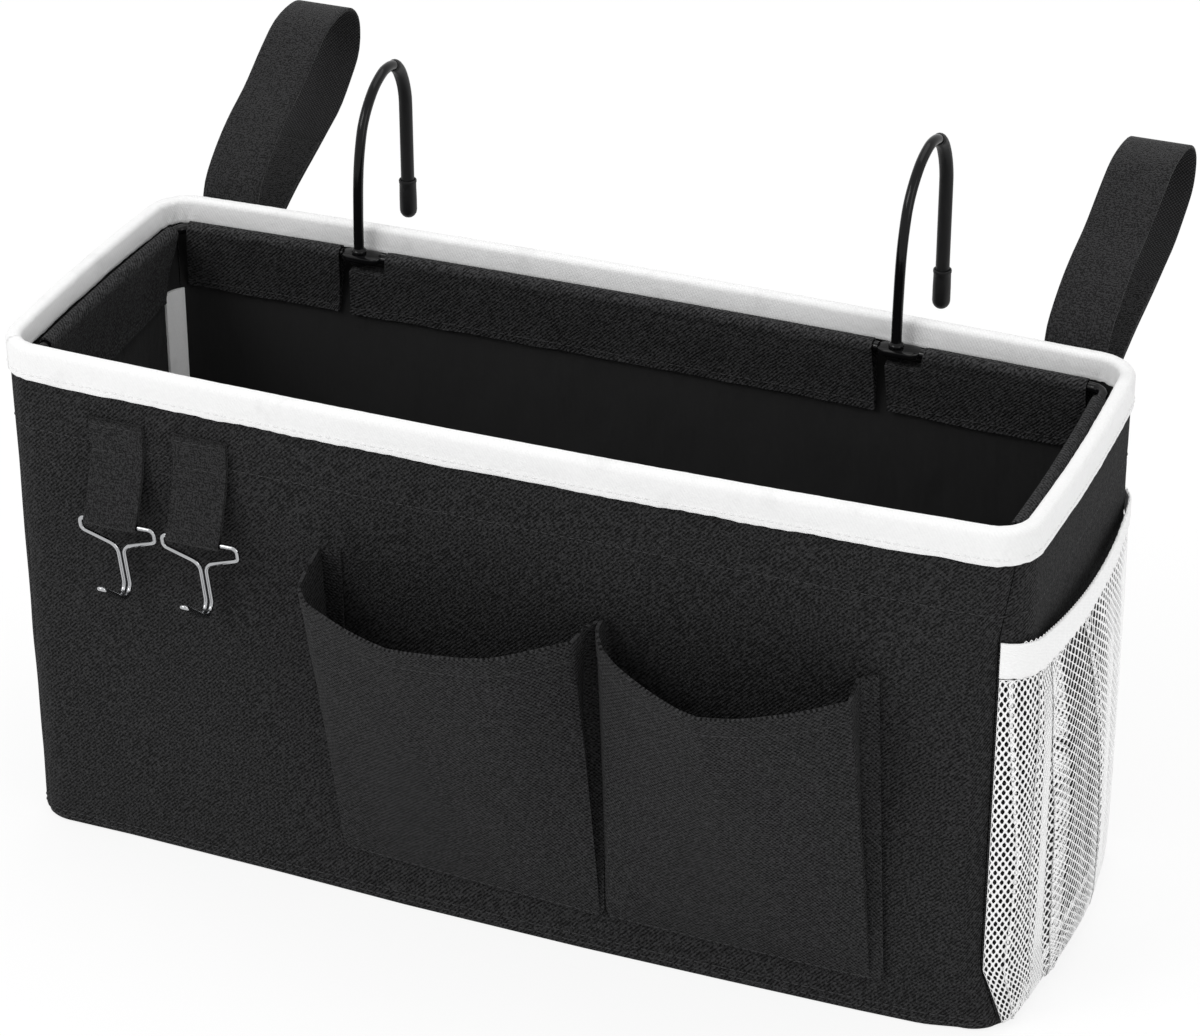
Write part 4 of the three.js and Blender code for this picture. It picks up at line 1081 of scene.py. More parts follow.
# Half of a band's section, from selvedge to selvedge: place across it and share of its thickness
BAND_HALF = [
    (-11.92, 0.36), (-11.6, 0.5), (-9, 0.5), (-5, 0.5), (0, 0.5), (5, 0.5), (9, 0.5), (11.6, 0.5),
    (11.92, 0.36),
]


def beside(line, distance):
    """A flat line moved to its left."""
    before = np.concatenate([line[:1], line[:-1]])
    after = np.concatenate([line[1:], line[-1:]])
    along = after - before
    along /= np.linalg.norm(along, axis=1, keepdims=True)
    return line + np.stack([-along[:, 1], along[:, 0]], -1) * distance


def strap_lines(x, loop_height):
    """Middle lines, in Y and Z, of a strap's long loop and of the grip tape under it."""
    def wall_y(z):
        share = (abs(x) - STRAP_WIDTH / 2) / float(straight_half("back", z))
        return on_wall("back", share, 0, 0, z)[1]

    rim_y = wall_y(WALL_TOP) + 1.1 + STRAP_GAP + STRAP_THICKNESS / 2
    loop = [(rim_y + STRAP_REACH * reach, RIM_TOP + loop_height * rise)
            for reach, rise in STRAP_SHARES]
    top = RIM_TOP - 2
    foot = [(rim_y, top - 10), (rim_y, top - 5)]
    curve = spline_points([(rim_y, top), *loop], STRAP_STEPS)
    long = np.concatenate([foot, curve])
    tape_top = RIM_TOP - 26
    tape_y = wall_y(tape_top) + STRAP_GAP + STRAP_THICKNESS / 2
    inside = beside(long, -STRAP_THICKNESS - STRAP_GAP)
    tail = [tuple(p) for p in inside[round(STRAP_STEPS * 0.78):] if p[0] < rim_y + 61][::-1]
    short_foot = [(tape_y, tape_top - 10), (tape_y, tape_top - 5)]
    rise = spline_points([(tape_y, tape_top), *tail], 2 * len(tail))
    return long, np.concatenate([short_foot, rise])


def band_grid(line, x, turn, edge_wave):
    """Points of a flat band, level along X, with rounded selvedges, and their places on it."""
    line = resample(line, 1.6)
    reach = run_length(line)
    under = [(side, -level) for side, level in BAND_HALF[::-1]]
    half = STRAP_WIDTH / 2
    section = [(-half, 0.0), *BAND_HALF, (half, 0.0), *under]
    rows, uv = [], []
    for side, level in section:
        moved = beside(line, level * STRAP_THICKNESS)
        sway = edge_wave * np.sin(reach / 9.0 + side) * (abs(side) / half) ** 2
        lead = np.maximum(0, moved[:, 0] - line[0, 0] - STRAP_THICKNESS) * math.tan(turn)
        rows.append(np.stack([x + side + sway * 0.6 + lead, moved[:, 0], moved[:, 1]], -1))
        uv.append(np.stack([np.full(len(reach), side), reach], -1))
    return np.stack(rows, 1), np.stack(uv, 1)


def solid_band(name, grid, uv):
    """A closed band from the points of its section, row by row."""
    rows, columns, _ = grid.shape
    faces = closed_faces(rows, columns, flip=True)
    return add_mesh(name, grid.reshape(-1, 3), faces, uv.reshape(-1, 2), 55)


def build_straps():
    """Two strap loops behind the rim, and the grip tapes that they close on."""
    webbing = webbing_tape("strap_webbing", colour("webbing"), 0.0011, 0.1)
    grip = webbing_tape("strap_grip", colour("webbing"), 0.0012, coarse=True)
    thread = thread_finish("strap_thread", colour("thread"))
    for side, (x, turn, height) in STRAPS.items():
        long, short = strap_lines(x, height)
        grid, uv = band_grid(long, x, turn, 0.25)
        strap = solid_band(f"strap_loop_{side}", grid, uv)
        dress(strap, webbing, replaced=[f"strap_{side}"])
        strap.data.materials.append(grip)
        columns = grid.shape[1]
        underside = len(BAND_HALF) + 2
        for face in strap.data.polygons:
            places = [i % columns for i in face.vertices]
            if len(places) == 4 and min(places) >= underside:
                face.material_index = 1
        tape = solid_band(f"strap_tape_{side}", *band_grid(short, x, turn, 0.2))
        dress(tape, webbing, replaced=[f"grip_tape_{side}"])
        parts = []
        for row in (5, 6):
            line = resample(grid[row, 1:10], 1.0)
            parts += stitch_row(line, np.tile([0, -1.0, 0.25], (len(line), 1)))
        points, faces = join_parts(parts)
        dress(add_mesh(f"strap_stitches_{side}", points, faces), thread)


# ---- Tabs and key hooks ----

def tab_line(bar):
    """Middle line, in Y and Z, of a tab's webbing: down from its head, round the bar and up."""
    down = np.array([-math.sin(TAB_LEAN), -math.cos(TAB_LEAN)])
    across = np.array([-down[1], down[0]])
    bar = np.array(bar)
    wall = bar - down * 25
    behind, before, fold = 0.55, 0.6, 1.75
    back_y, front_y = wall[0] + behind, wall[0] - before
    back = [(back_y, 186), (back_y, 182), (back_y, 178), (back_y, 174.5)]
    front = [(front_y, 174.8), (front_y, 178), (front_y, 182), (front_y, 185.6)]
    reaches = np.array([4, 8, 12, 16, 20])
    back += [tuple(wall + down * r + across * behind) for r in reaches]
    turns = np.linspace(math.radians(28), math.radians(-208), 12)
    around_bar = [tuple(bar + across * fold * math.cos(t) - down * fold * math.sin(t))
                  for t in turns]
    front_leg = [tuple(wall + down * r - across * before) for r in reaches[::-1]]
    line = back + around_bar + front_leg + front
    return spline_points(line, 3 * (len(line) - 1))


def build_tabs():
    """Webbing tabs, each one piece that bends where its sewn head ends."""
    webbing = webbing_tape("tab_webbing", colour("webbing"), 0.00115, 0.05)
    thread = thread_finish("tab_thread", colour("thread"))
    for side, (x, bar) in TABS.items():
        line = resample(tab_line(bar), 0.9)
        reach = run_length(line)
        places = np.array([-10.7, -10.4, -8, -4, 0, 4, 8, 10.4, 10.7])
        crown = 0.12 * np.cos(places / places[-1] * math.pi / 2)
        free = np.clip((172 - line[:, 1]) / 10, 0, 1)[:, None]
        y = line[:, :1] - crown[None] * free
        z = np.repeat(line[:, 1:], len(places), 1)
        xs = x + places[None] * (1 + 0.02 * np.clip((line[:, 1:] - 172) / 8, 0, 1))
        grid = np.stack([xs + 0 * z, y, z], -1)
        uv = np.stack(np.broadcast_arrays(places[None], reach[:, None]), -1)
        tab = cloth_sheet(f"tab_{side}", grid, TAB_THICKNESS, uv)
        tab.data.materials.append(webbing)
        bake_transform(tab)
        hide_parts(f"tab_head_{side}", f"tab_loop_{side}")
        front_y = line[-1, 0] - 0.5
        parts = []
        for z_row in TAB_ROWS:
            places_x = np.linspace(x - 9.6, x + 9.6, 24)
            row = np.stack([places_x, np.full(24, front_y), np.full(24, z_row)], -1)
            parts += stitch_row(row, np.tile([0, -1.0, 0], (24, 1)))
        points, faces = join_parts(parts)
        dress(add_mesh(f"tab_stitches_{side}", points, faces), thread)


def rounded_route(corners, steps=7):
    """A line through corners, each rounded to its own radius."""
    points = [np.array(corners[0][0], float)]
    for i in range(1, len(corners) - 1):
        at, radius = np.array(corners[i][0], float), corners[i][1]
        back = np.array(corners[i - 1][0], float) - at
        ahead = np.array(corners[i + 1][0], float) - at
        back, ahead = back / np.linalg.norm(back), ahead / np.linalg.norm(ahead)
        half = math.acos(max(-1, min(1, float(back @ ahead)))) / 2
        middle = (back + ahead) / np.linalg.norm(back + ahead)
        centre = at + middle * radius / math.sin(half)
        start = at + back * radius / math.tan(half) - centre
        end = at + ahead * radius / math.tan(half) - centre
        sweep = math.acos(max(-1, min(1, float(start @ end) / radius ** 2)))
        for k in range(steps + 1):
            t = k / steps
            arm = (math.sin((1 - t) * sweep) * start + math.sin(t * sweep) * end) / math.sin(sweep)
            points.append(centre + arm)
    points.append(np.array(corners[-1][0], float))
    return np.array(points)


def key_hook_route():
    """Centre line of a key hook's wire, from the middle of its bar round both sides to it again."""
    apart, foot, tip = 1.2, (7.2, -38), (-13.7, -20.8)
    back = -foot[0] / foot[1]
    right = rounded_route([
        ((0.3, 0, 0), 0), ((15.4, 0, 0), 2.2), ((15.4, back * 5.4, -5.4), 2.2),
        ((apart, back * 10.6, -10.6), 5), ((apart, *foot), 4), ((apart, *tip), 0),
    ])
    prong = np.array([0, tip[0] - foot[0], tip[1] - foot[1]])
    prong /= np.linalg.norm(prong)
    turn = np.linspace(0, math.pi, 9)[1:-1, None]
    tip = np.array([0, *tip]) + np.cos(turn) * [apart, 0, 0] + np.sin(turn) * prong * apart
    return np.concatenate([right, tip, (right * [-1, 1, 1])[::-1]])


def build_key_hooks():
    """Bright wire hooks that hang in the fold of each tab."""
    # Painted shade: the plating is darker than bare chrome, standing in for reflections of dark
    # surroundings
    plating = bright_plating("key_hook_plating_painted_shade", colour("chrome"))
    route = key_hook_route()
    for side, (x, bar) in TABS.items():
        points, faces = tube_parts(route, KEY_WIRE)
        placed = points + [x + KEY_HOOK_ASIDE, *bar]
        piece = add_mesh(f"key_wire_{side}", placed, faces, sharp=50)
        dress(piece, plating, f"key_hook_{side}_body", [f"key_hook_{side}"])


# ---- Pockets ----

POCKET_BULGE = 41.0

# A mouth's points: share across, share of the bulge, and share of its foot where that differs
POCKETS = {
    "pocket_left": {
        "start": -61.0, "width": 106.0, "open_start": -63.0, "open_width": 108.0,
        "foot": (19.8, 14.6), "height": 130.6,
        "mouth": [(0.045, 0.01, 0.024), (-0.027, 0.02, 0), (-0.014, 0.3, 0.002),
                  (0.001, 0.6, 0.005), (0.045, 0.748), (0.094, 0.819), (0.213, 0.936),
                  (0.309, 1.004), (0.39, 1.04), (0.491, 1.01), (0.655, 0.932), (0.753, 0.838),
                  (0.869, 0.62), (0.95, 0.444, 0.985), (0.962, 0.2, 0.86), (1, 0.02)],
        "creases": (1, 3, 8, 13, 14),
    },
    "pocket_right": {
        "start": 45.6, "width": 109.0, "open_start": 45.8, "open_width": 103.0,
        "foot": (15.0, 14.0), "height": 130.6,
        "mouth": [(0.004, 0.02), (0.01, 0.22, 0.01), (0.064, 0.462, 0.018), (0.143, 0.631),
                  (0.277, 0.819), (0.397, 0.944), (0.488, 0.995), (0.601, 0.941), (0.691, 0.857),
                  (0.82, 0.693), (0.946, 0.465, 0.949), (0.938, 0.3, 0.93), (0.932, 0.14, 0.91),
                  (0.965, 0.06, 0.98), (0.995, 0.02)],
        "creases": (2, 6, 10, 12),
    },
}


def creased_line(points, creases, steps):
    """A smooth curve through points, with steps between each two, that keeps its creases."""
    stops = [0, *creases, len(points) - 1]
    made = []
    for first, last in zip(stops[:-1], stops[1:]):
        run = points[first:last + 1]
        smooth = len(run) > 2
        curve = spline_points(run, steps * (len(run) - 1)) if smooth else resample(run, 0.03)
        made.append(curve[:-1])
    made.append(points[-1:])
    return np.concatenate(made)


def pocket_grid(pocket, rises):
    """Points of a pocket's inner face, from its sewn foot up to its mouth."""
    mouth = np.array([(p[0], p[1], p[2] if len(p) > 2 else p[0]) for p in pocket["mouth"]])
    line = creased_line(mouth, pocket["creases"], 4)
    rise = rises[:, None]
    across, bulge, foot = line[:, 0][None], line[:, 1][None], line[:, 2][None]
    rounded = 3.0 * np.clip(1 - rise * pocket["height"] / 3.5, 0, 1) ** 2
    start = pocket["start"] + (pocket["open_start"] - pocket["start"]) * rise + rounded
    width = pocket["width"] + (pocket["open_width"] - pocket["width"]) * rise - 2 * rounded
    x = start + (foot + (across - foot) * rise) * width
    slope = POCKET_BULGE * bulge
    low = pocket["foot"][0] + (pocket["foot"][1] - pocket["foot"][0]) * across
    z = low + rise * np.sqrt(pocket["height"] ** 2 - slope ** 2)
    wall = on_wall("front", x / straight_half("front", z), 0, 0, z)
    y = wall[..., 1] - 0.3 - 0.6 * np.clip(rise / 0.05, 0, 1) - slope * rise
    return np.stack([x, y, z], -1), line


def build_pockets():
    """Two cloth pockets that stand open, with folds at their sides and a hem."""
    lighter = (*(1.1 * c for c in colour("shell")[:3]), 1.0)
    cloth = canvas("pocket_canvas", lighter, size("weave_pitch") * MM, rows=True)
    thread = thread_finish("pocket_thread", colour("thread"))
    hem = size("hem_depth")
    for number, (name, pocket) in enumerate(POCKETS.items()):
        tall = pocket["height"]
        below_hem = np.linspace(0.06, 1 - (hem + 1.4) / tall, 26)
        on_hem = [1 - depth / tall for depth in (hem, hem - 1.5, hem / 2, 1.2, 0.4, 0)]
        rises = np.concatenate([[0, 0.01, 0.03], below_hem, on_hem])
        foot_row, hem_row = 1, len(rises) - len(on_hem)
        grid, line = pocket_grid(pocket, rises)
        normals = grid_normals(grid)
        rise = rises[:, None]
        x = grid[..., 0]
        free = np.clip(rise / 0.2, 0, 1) * np.clip((1.02 - rise) / 0.25, 0, 1)
        slack = 0.8 * ripple(x + 0.25 * grid[..., 2], grid[..., 2], 81 + number, (71.0, 39.0, 21.0))
        belly = np.clip(line[:, 1][None] * 1.2 - 0.2, 0, 1)
        moved = grid + normals * (free * slack * belly)[..., None]
        thick = np.where(rise > 1 - hem / tall + 0.004, 1.3, 1.0)[..., None]
        outer, inner = moved + normals * thick, moved
        uv = np.stack(np.broadcast_arrays(x, tall * rise), -1)
        sheet = thick_sheet(f"{name}_cloth", outer, inner, cloth=uv, sharp=48)
        dress(sheet, cloth, replaced=[name])
        parts = stitch_row(outer[hem_row], normals[hem_row])
        parts += stitch_row(outer[foot_row], normals[foot_row])
        points, faces = join_parts(parts)
        dress(add_mesh(f"{name}_stitches", points, faces), thread)
        shown = sum(face.area for face in sheet.data.polygons) / 2
        wide = np.linalg.norm(np.diff(outer[-1], axis=0), axis=1).sum() * MM
        tall * MM
        min(shown, wide * tall * MM)


# ---- Net pocket ----

# Rise up the net, and share of its bulge there
NET_BULGE = [
    (0, 0.06), (0.003, 0.35), (0.01, 0.58), (0.045, 0.8), (0.1, 0.93), (0.17, 0.98), (0.23, 1),
    (0.33, 1), (0.43, 0.97), (0.55, 0.92), (0.7, 0.86), (0.83, 0.77), (0.93, 0.6), (0.985, 0.42),
    (1, 0.42),
]

# Share along the end wall, and how far the slack net stands out there
NET_WAVES = [
    (0, 0), (0.03, 1), (0.07, 1.6), (0.1, 0.3), (0.13, 1.2), (0.165, 0), (0.21, -1.6), (0.26, 0),
    (0.33, 1), (0.4, 0.8), (0.44, 0.4), (0.5, 0.8), (0.6, 0.8), (0.7, 0), (0.8, 0.8), (0.9, 0),
    (1, 0),
]

# Folds of the net: share along the end and width, each at the foot, the middle and the top
NET_FOLDS = [
    ((0.03, 0.055, 0.02), (1.4, 2.0, 2.6)),
    ((0.12, 0.10, 0.10), (0.3, 1.3, 1.7)),
    ((0.25, 0.225, 0.185), (4.5, 7.5, 9.5)),
    ((0.58, 0.53, 0.42), (0.3, 2.4, 3.6)),
]
NET_HEIGHT = 148.0
NET_BELLY = 9.5
END_RUN = 136.0
BAND_OUT = 4.8

# How the net is drawn in at the front: shares of its own width, and where they lie on the wall
NET_SPREAD = ((0, 0.34, 0.62, 1), (0, 0.22, 0.6, 1))


def end_run(share, z):
    """Share and turn of places along the right end, from 0 at its front seam to 1."""
    straight = HALF_DEPTH - CORNER_RADIUS
    first = straight + CORNER_RADIUS * (seam_turn(z) - 0.04)
    last = straight + CORNER_RADIUS * math.radians(42)
    distance = np.asarray(share, float) * (first + last) - first
    along = np.clip(distance, -straight, straight) / straight
    turn = np.maximum(0, np.abs(distance) - straight) / CORNER_RADIUS
    along = np.where(np.abs(along) < 1e-9, 1e-9, along)
    return along, turn


def openness(share):
    """How far the net's mouth stands open at a place, from 0 at the seams to 1."""
    return 1 - (2 * np.asarray(share, float) - 1) ** 2


def band_edges(share):
    """Heights of the elastic's lower and upper edge."""
    top = 165.0 - 7.0 * share - 4.0 * openness(share)
    return top - (14.0 - 6.0 * share), top


def net_surface(share, rise, lift):
    """Points of the net's sheet, at places along and up it and lifted off it."""
    low = 2.5
    z = low + rise * (band_edges(share)[0] - 0.3 - low)
    bulge = np.interp(rise, *np.array(NET_BULGE).T) * NET_BELLY * openness(share) ** 1.3
    wave = np.interp(share, *np.array(NET_WAVES).T) * np.sqrt(np.sin(math.pi * np.clip(rise, 0, 1)))
    out = np.maximum(bulge + wave, 0.2) + 1.1 + lift
    along, turn = end_run(share, z)
    return on_wall("right", along, turn, -out, z)


def folded_place(flat, rise):
    """Where a share of the net's own width lies along the wall: it doubles back at each fold."""
    places = [np.interp(rise, (0, 0.5, 1), at) for at, _ in NET_FOLDS]
    widths = [np.interp(rise, (0, 0.5, 1), wide) for _, wide in NET_FOLDS]
    extra = 2 * sum(widths)
    total = net_width()
    taken, lift, before = 0.0, 0.0, 0.0
    for number, (at, width) in enumerate(zip(places, widths)):
        start = np.interp(at, *NET_SPREAD[::-1]) * (total - extra) + before
        start = start + 0.7 * np.sin(rise * 6 + 2 * number)
        ahead = flat * total - start
        taken = taken + 2 * np.clip(ahead - width, 0, width)
        layer = np.clip(ahead / width, 0, 3)
        settle = np.clip((ahead - 3 * width) / (1 + 0.5 * width), 0, 1)
        step = np.minimum(0.32, 0.22 * width)
        lift = lift + step * layer * (1 - settle) * np.where(ahead > 0, 1, 0)
        before = before + 2 * width
    place = np.clip((flat * total - taken) / (total - extra), 0, 1)
    return np.interp(place, *NET_SPREAD), lift


def net_width():
    """The net's own width: the run of the end wall and what its folds take up."""
    return END_RUN + 2 * sum(wide[1] for _, wide in NET_FOLDS)


def build_net():
    """Knitted net of the end pocket, mesh by mesh, with its gathers."""
    yarn = net_yarn("white_net_yarn", colour("net"))
    column, row, thick = size("net_column"), size("net_row"), size("yarn")
    total, tall = net_width(), NET_HEIGHT
    columns = round(total / column)
    rows = round(tall / row)
    outline = np.array([(1, 0), (0.5, 0.5), (0, 1), (-0.5, 0.5),
                        (-1, 0), (-0.5, -0.5), (0, -1), (0.5, -0.5)])
    hole = np.array([(0.54, 0), (0.4, 0.34), (0, 0.56), (-0.4, 0.34),
                     (-0.54, 0), (-0.4, -0.34), (0, -0.56), (0.4, -0.34)])
    source = np.random.default_rng(7)
    cells = [(i, j + 0.5 * (i % 2)) for i in range(columns + 1) for j in range(rows + 1 - i % 2)]
    centres = np.array([(i * total / columns, j * tall / rows) for i, j in cells])
    scale = np.array([total / columns, tall / rows / 2])
    along = folded_place(centres[:, 0] / total, centres[:, 1] / tall)[0]
    gape = np.interp(along, (0, 0.2, 0.27, 0.5, 0.58, 1), (1, 0.95, 1.25, 1.25, 0.9, 0.85))
    rim = centres[:, None] + outline[None] * scale
    jitter = source.uniform(0.88, 1.08, (len(cells), 1, 1)) * gape[:, None, None]
    inner = centres[:, None] + hole[None] * scale * jitter
    rim = np.clip(rim, 0, (total, tall))
    inner = np.clip(inner, 0.25, (total - 0.25, tall - 0.35))
    flat = np.concatenate([rim, inner], axis=1)
    place, lift = folded_place(flat[..., 0] / total, flat[..., 1] / tall)
    side = np.concatenate([np.full(8, thick / 2), np.zeros(8)])[None]
    middle = thick / 2 + lift
    front = net_surface(place, flat[..., 1] / tall, middle + side)
    back = net_surface(place, flat[..., 1] / tall, middle - side)
    count = front.shape[0] * 16
    around_cell = np.arange(8)
    following = (around_cell + 1) % 8
    quads_flat = np.stack([flat[:, around_cell], flat[:, following], flat[:, 8 + following],
                           flat[:, 8 + around_cell]], 2)
    spans = quads_flat[:, :, 2] - quads_flat[:, :, 0], quads_flat[:, :, 3] - quads_flat[:, :, 1]
    area = np.abs(spans[0][..., 0] * spans[1][..., 1] - spans[0][..., 1] * spans[1][..., 0]) / 2
    edge = np.concatenate([rim < 0.001, rim > (total - 0.001, tall - 0.001)], axis=2)
    moves = np.abs(rim[:, following] - rim).sum(2) > 0.001
    border = np.any(edge & edge[:, following], axis=2) & moves
    faces = []
    for cell, k in np.argwhere(border).tolist():
        a, b = cell * 16 + k, cell * 16 + (k + 1) % 8
        faces.append((b, a, a + count, b + count))
    for cell, k in np.argwhere(area > 1e-7).tolist():
        base = cell * 16
        a, b = base + k, base + (k + 1) % 8
        c, d = base + 8 + (k + 1) % 8, base + 8 + k
        faces.append((a, b, c, d))
        faces.append((a + count, d + count, c + count, b + count))
    points = np.concatenate([front.reshape(-1, 3), back.reshape(-1, 3)])
    piece = add_mesh("net_sheet", points, faces)
    shown = sum(face.area for face in piece.data.polygons) / 2
    weld = piece.modifiers.new("joined", "WELD")
    weld.merge_threshold = 0.00001
    dress(piece, yarn, replaced=["net_pocket"])
    total * MM
    tall * MM
    min(shown, total * tall * MM * MM)


def build_band():
    """White elastic along the net's mouth, ribbed and gathered."""
    elastic = ribbed_tape("white_elastic", colour("elastic"), 0.0013, along_ribs=True)
    shares = np.linspace(0, 1, 151)
    levels = np.array([0, 0.04, 0.12, 0.3, 0.5, 0.7, 0.88, 0.96, 1.0])[:, None]
    low, high = band_edges(shares)
    run = shares * END_RUN
    z = low + (high - low) * levels
    ruffle = 0.28 * np.sin(2 * math.pi * run / 5.3) + 0.2 * ripple(run, run, 91, (31.0, 17.0, 9.0))
    ruffle = np.maximum(ruffle * (0.3 + 0.7 * (1 - levels)), -0.2) * (openness(shares) > 0.12)
    out = BAND_OUT * openness(shares) + 0.5 + ruffle
    along, turn = end_run(shares, z)
    inner = on_wall("right", along, turn, -out, z)
    outer = on_wall("right", along, turn, -(out + 1.1 - 0.35 * (np.abs(levels - 0.5) > 0.49)), z)
    uv = np.stack(np.broadcast_arrays(run[None], z), -1)
    band = thick_sheet("elastic_band", outer, inner, cloth=uv, sharp=60)
    dress(band, elastic, replaced=["net_band"])
    loops = []
    for share in np.linspace(0.06, 0.97, 62):
        at = share + np.linspace(-0.0052, 0.0052, 7)
        height = band_edges(at)[1] - 0.3 + 1.15 * np.cos(np.linspace(-1.5, 1.5, 7))
        along, turn = end_run(at, height)
        middle = on_wall("right", along, turn, -(BAND_OUT * openness(at) + 0.9), height)
        loops.append(tube_parts(middle, 0.16, 6))
    points, faces = join_parts(loops)
    dress(add_mesh("elastic_loops", points, faces), elastic)


# ---- Stage ----

CAMERA_PLACE = (0.521447, -1.258215, 0.907339)
FLOOR_REACH = 4000.0
FLOOR_DROP = 0.25


def build_stage():
    """Pale floor, soft lamps and the camera at the photograph's viewing angle."""
    scene = bpy.context.scene
    scene.view_settings.view_transform = "Standard"
    data = bpy.data.cameras.new("camera")
    data.sensor_fit = "HORIZONTAL"
    data.sensor_width = 36.0
    data.lens = 125.11
    data.shift_x = 0.0851
    data.shift_y = 0.05455
    data.clip_start = 0.05
    data.clip_end = 50.0
    camera = bpy.data.objects.new("camera", data)
    azimuth, elevation, roll = (math.radians(v) for v in (23.5783, 30.3494, -0.95426))
    level = math.cos(elevation)
    back = np.array([math.sin(azimuth) * level, -math.cos(azimuth) * level, math.sin(elevation)])
    right = np.array([math.cos(azimuth), math.sin(azimuth), 0.0])
    up = np.cross(back, right)
    side = math.cos(roll) * right + math.sin(roll) * up
    top = -math.sin(roll) * right + math.cos(roll) * up
    place = Matrix([(*row, 0.0) for row in np.stack([side, top, back], 1)] + [(0, 0, 0, 1.0)])
    camera.matrix_world = Matrix.Translation(CAMERA_PLACE) @ place
    scene.collection.objects.link(camera)
    scene.camera = camera

    world = bpy.data.worlds.new("pale_room")
    world.use_nodes = True
    tree = world.node_tree
    tree.nodes.clear()
    room = tree.nodes.new("ShaderNodeBackground")
    room.inputs["Strength"].default_value = 0.72
    seen = tree.nodes.new("ShaderNodeBackground")
    for light in (room, seen):
        light.inputs["Color"].default_value = (1, 1, 1, 1)
    path = tree.nodes.new("ShaderNodeLightPath")
    rays, more = (tree.nodes.new("ShaderNodeMath") for _ in range(2))
    rays.operation = more.operation = "MAXIMUM"
    mix = tree.nodes.new("ShaderNodeMixShader")
    out = tree.nodes.new("ShaderNodeOutputWorld")
    link = tree.links.new
    link(path.outputs["Is Camera Ray"], rays.inputs[0])
    link(path.outputs["Is Transmission Ray"], rays.inputs[1])
    link(rays.outputs[0], more.inputs[0])
    link(path.outputs["Is Glossy Ray"], more.inputs[1])
    link(more.outputs[0], mix.inputs[0])
    link(room.outputs[0], mix.inputs[1])
    link(seen.outputs[0], mix.inputs[2])
    link(mix.outputs[0], out.inputs["Surface"])
    scene.world = world

    def lamp(name, energy, reach, place, aim):
        data = bpy.data.lights.new(name, "AREA")
        data.shape = "RECTANGLE"
        data.size, data.size_y = reach
        data.energy = energy
        made = bpy.data.objects.new(name, data)
        direction = np.array(aim, float) - np.array(place, float)
        made.location = place
        made.rotation_euler = Vector(direction).to_track_quat("-Z", "Y").to_euler()
        scene.collection.objects.link(made)

    lamp("key_lamp", 19.0, (1.4, 1.0), (-1.1, -1.5, 1.7), (0, 0, 0.1))
    lamp("side_lamp", 7.0, (0.9, 1.4), (1.9, -0.7, 0.9), (0.1, 0, 0.1))
    lamp("strip_lamp", 1.2, (0.06, 0.5), (-0.7, -1.3, 1.5), (0, 0, 0.2))
    lamp("top_lamp", 9.0, (1.6, 1.2), (0.1, 0.6, 2.0), (0, 0, 0.1))

    floor_finish = Finish("pale_floor", colour("floor"), 0.95)
    seen_by = [floor_finish.node("ShaderNodeLightPath", {}, {}, output) for output in (0, 3, 6)]
    rays = seen_by[0].math("MAXIMUM", seen_by[1]).math("MAXIMUM", seen_by[2])
    grain = floor_finish.noise(40.0, 2.0)
    floor_finish.set("Base Color", floor_finish.tint(grain, 0.995, 1.005))
    glow = floor_finish.node("ShaderNodeEmission", {}, {"Color": (1, 1, 1, 1), "Strength": 1.02})
    mixed = floor_finish.node("ShaderNodeMixShader", {}, {
        0: rays * 0.82, 1: floor_finish.shader, 2: glow})
    for node in floor_finish.tree.nodes:
        if node.type == "OUTPUT_MATERIAL":
            floor_finish.feed(node, "Surface", mixed)
    signs = ((-1, -1), (1, -1), (1, 1), (-1, 1))
    corners = [(x * FLOOR_REACH, y * FLOOR_REACH, -FLOOR_DROP) for x, y in signs]
    floor = add_mesh("floor", corners, [(0, 1, 2, 3)])
    floor.data.materials.append(floor_finish.material)


# ---- Operators ----

class CADDY_OT_stage(bpy.types.Operator):
    """Add the floor, the lamps and the camera."""
    bl_idname = "caddy.stage"
    bl_label = "Stage"

    def execute(self, context):
        build_stage()
        return {"FINISHED"}


class CADDY_OT_shell(bpy.types.Operator):
    """Add the outer cloth of the walls and base, with its seams."""
    bl_idname = "caddy.shell"
    bl_label = "Outer cloth"

    def execute(self, context):
        build_shell()
        return {"FINISHED"}


class CADDY_OT_lining(bpy.types.Operator):
    """Add the lining, and give the hidden boards their finish."""
    bl_idname = "caddy.lining"
    bl_label = "Lining"

    def execute(self, context):
        build_lining()
        return {"FINISHED"}


class CADDY_OT_tapes(bpy.types.Operator):
    """Add the white binding and the tapes over the inner corner seams."""
    bl_idname = "caddy.tapes"
    bl_label = "White tapes"

    def execute(self, context):
        build_binding()
        build_seam_tapes()
        return {"FINISHED"}


class CADDY_OT_frame(bpy.types.Operator):
    """Add the frame wire with its eyes, and the cloth sleeves round it."""
    bl_idname = "caddy.frame"
    bl_label = "Frame and sleeves"

    def execute(self, context):
        build_frame()
        build_sleeves()
        return {"FINISHED"}


class CADDY_OT_hooks(bpy.types.Operator):
    """Add the two wire hooks with their sleeves and caps."""
    bl_idname = "caddy.hooks"
    bl_label = "Wire hooks"

    def execute(self, context):
        build_hooks()
        return {"FINISHED"}


class CADDY_OT_straps(bpy.types.Operator):
    """Add the two strap loops and their grip tapes."""
    bl_idname = "caddy.straps"
    bl_label = "Strap loops"

    def execute(self, context):
        build_straps()
        return {"FINISHED"}


class CADDY_OT_tabs(bpy.types.Operator):
    """Add the webbing tabs and the key hooks that hang in them."""
    bl_idname = "caddy.tabs"
    bl_label = "Tabs and key hooks"

    def execute(self, context):
        build_tabs()
        build_key_hooks()
        return {"FINISHED"}


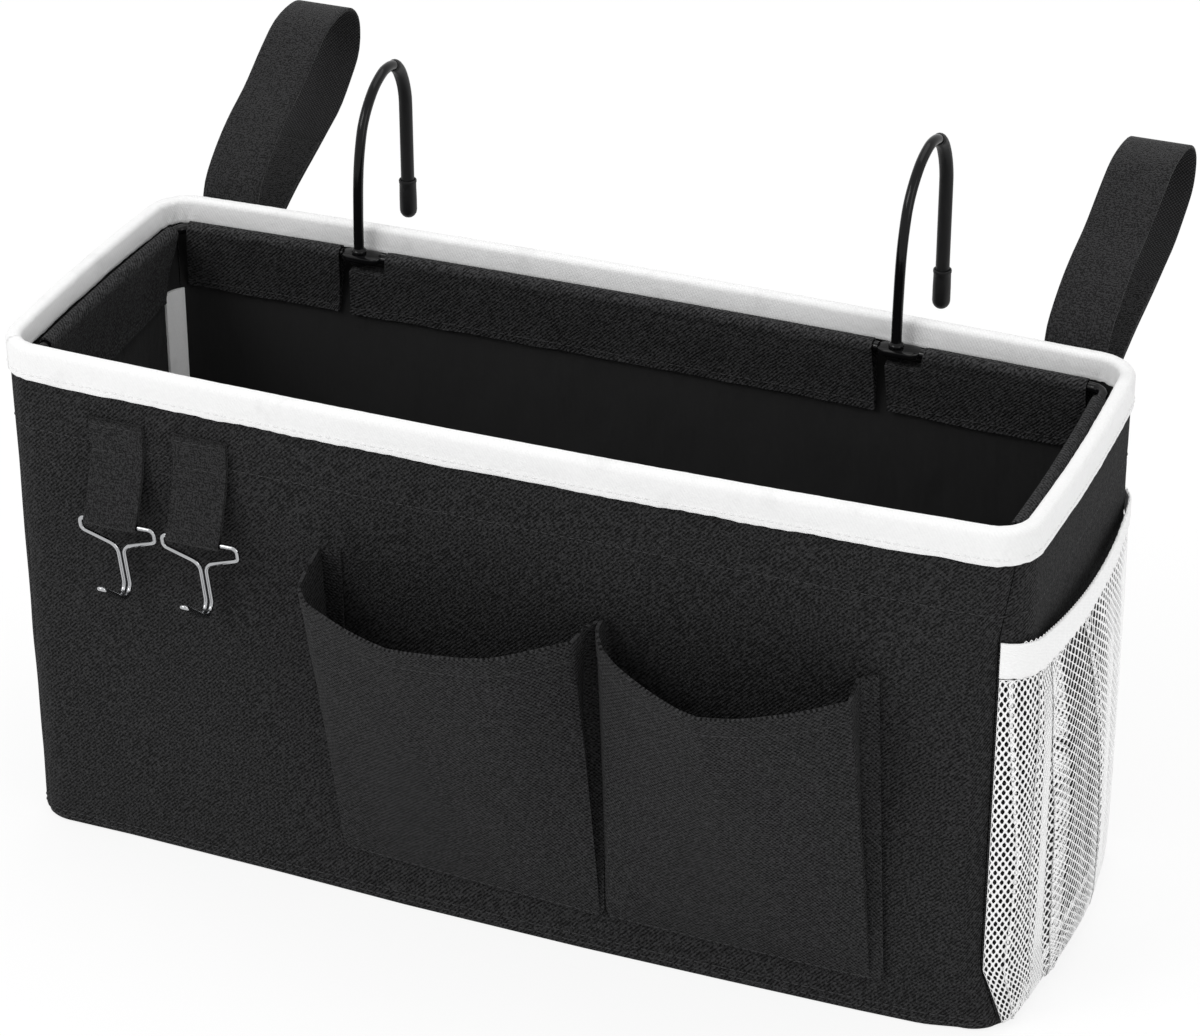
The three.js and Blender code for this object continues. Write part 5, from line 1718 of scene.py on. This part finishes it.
class CADDY_OT_pockets(bpy.types.Operator):
    """Add the two front pockets."""
    bl_idname = "caddy.pockets"
    bl_label = "Front pockets"

    def execute(self, context):
        build_pockets()
        return {"FINISHED"}


class CADDY_OT_net(bpy.types.Operator):
    """Add the net pocket and its elastic band."""
    bl_idname = "caddy.net"
    bl_label = "Net pocket"

    def execute(self, context):
        build_net()
        build_band()
        return {"FINISHED"}


PIECE_OPERATORS = (
    CADDY_OT_stage, CADDY_OT_shell, CADDY_OT_lining, CADDY_OT_tapes, CADDY_OT_frame, CADDY_OT_hooks,
    CADDY_OT_straps, CADDY_OT_tabs, CADDY_OT_pockets, CADDY_OT_net,
)


class CADDY_PT_pieces(bpy.types.Panel):
    """Lists the caddy's pieces, sizes and colours."""
    bl_idname = "CADDY_PT_pieces"
    bl_label = "Bedside caddy"
    bl_space_type = "VIEW_3D"
    bl_region_type = "UI"
    bl_category = "Caddy"

    def draw(self, context):
        for operator in PIECE_OPERATORS:
            self.layout.operator(operator.bl_idname)
        for group in (context.scene.caddy_sizes, context.scene.caddy_colours):
            for name in group.bl_rna.properties.keys():
                if name not in ("rna_type", "name"):
                    self.layout.prop(group, name)


CLASSES = (CaddySizes, CaddyColours, *PIECE_OPERATORS, CADDY_PT_pieces)


def register():
    for part in CLASSES:
        bpy.utils.register_class(part)
    bpy.types.Scene.caddy_sizes = bpy.props.PointerProperty(type=CaddySizes)
    bpy.types.Scene.caddy_colours = bpy.props.PointerProperty(type=CaddyColours)


def unregister():
    del bpy.types.Scene.caddy_colours
    del bpy.types.Scene.caddy_sizes
    for part in reversed(CLASSES):
        bpy.utils.unregister_class(part)


def main():
    register()
    bpy.ops.caddy.stage()
    bpy.ops.caddy.shell()
    bpy.ops.caddy.lining()
    bpy.ops.caddy.tapes()
    bpy.ops.caddy.frame()
    bpy.ops.caddy.hooks()
    bpy.ops.caddy.straps()
    bpy.ops.caddy.tabs()
    bpy.ops.caddy.pockets()
    bpy.ops.caddy.net()


if __name__ == "__main__":
    main()
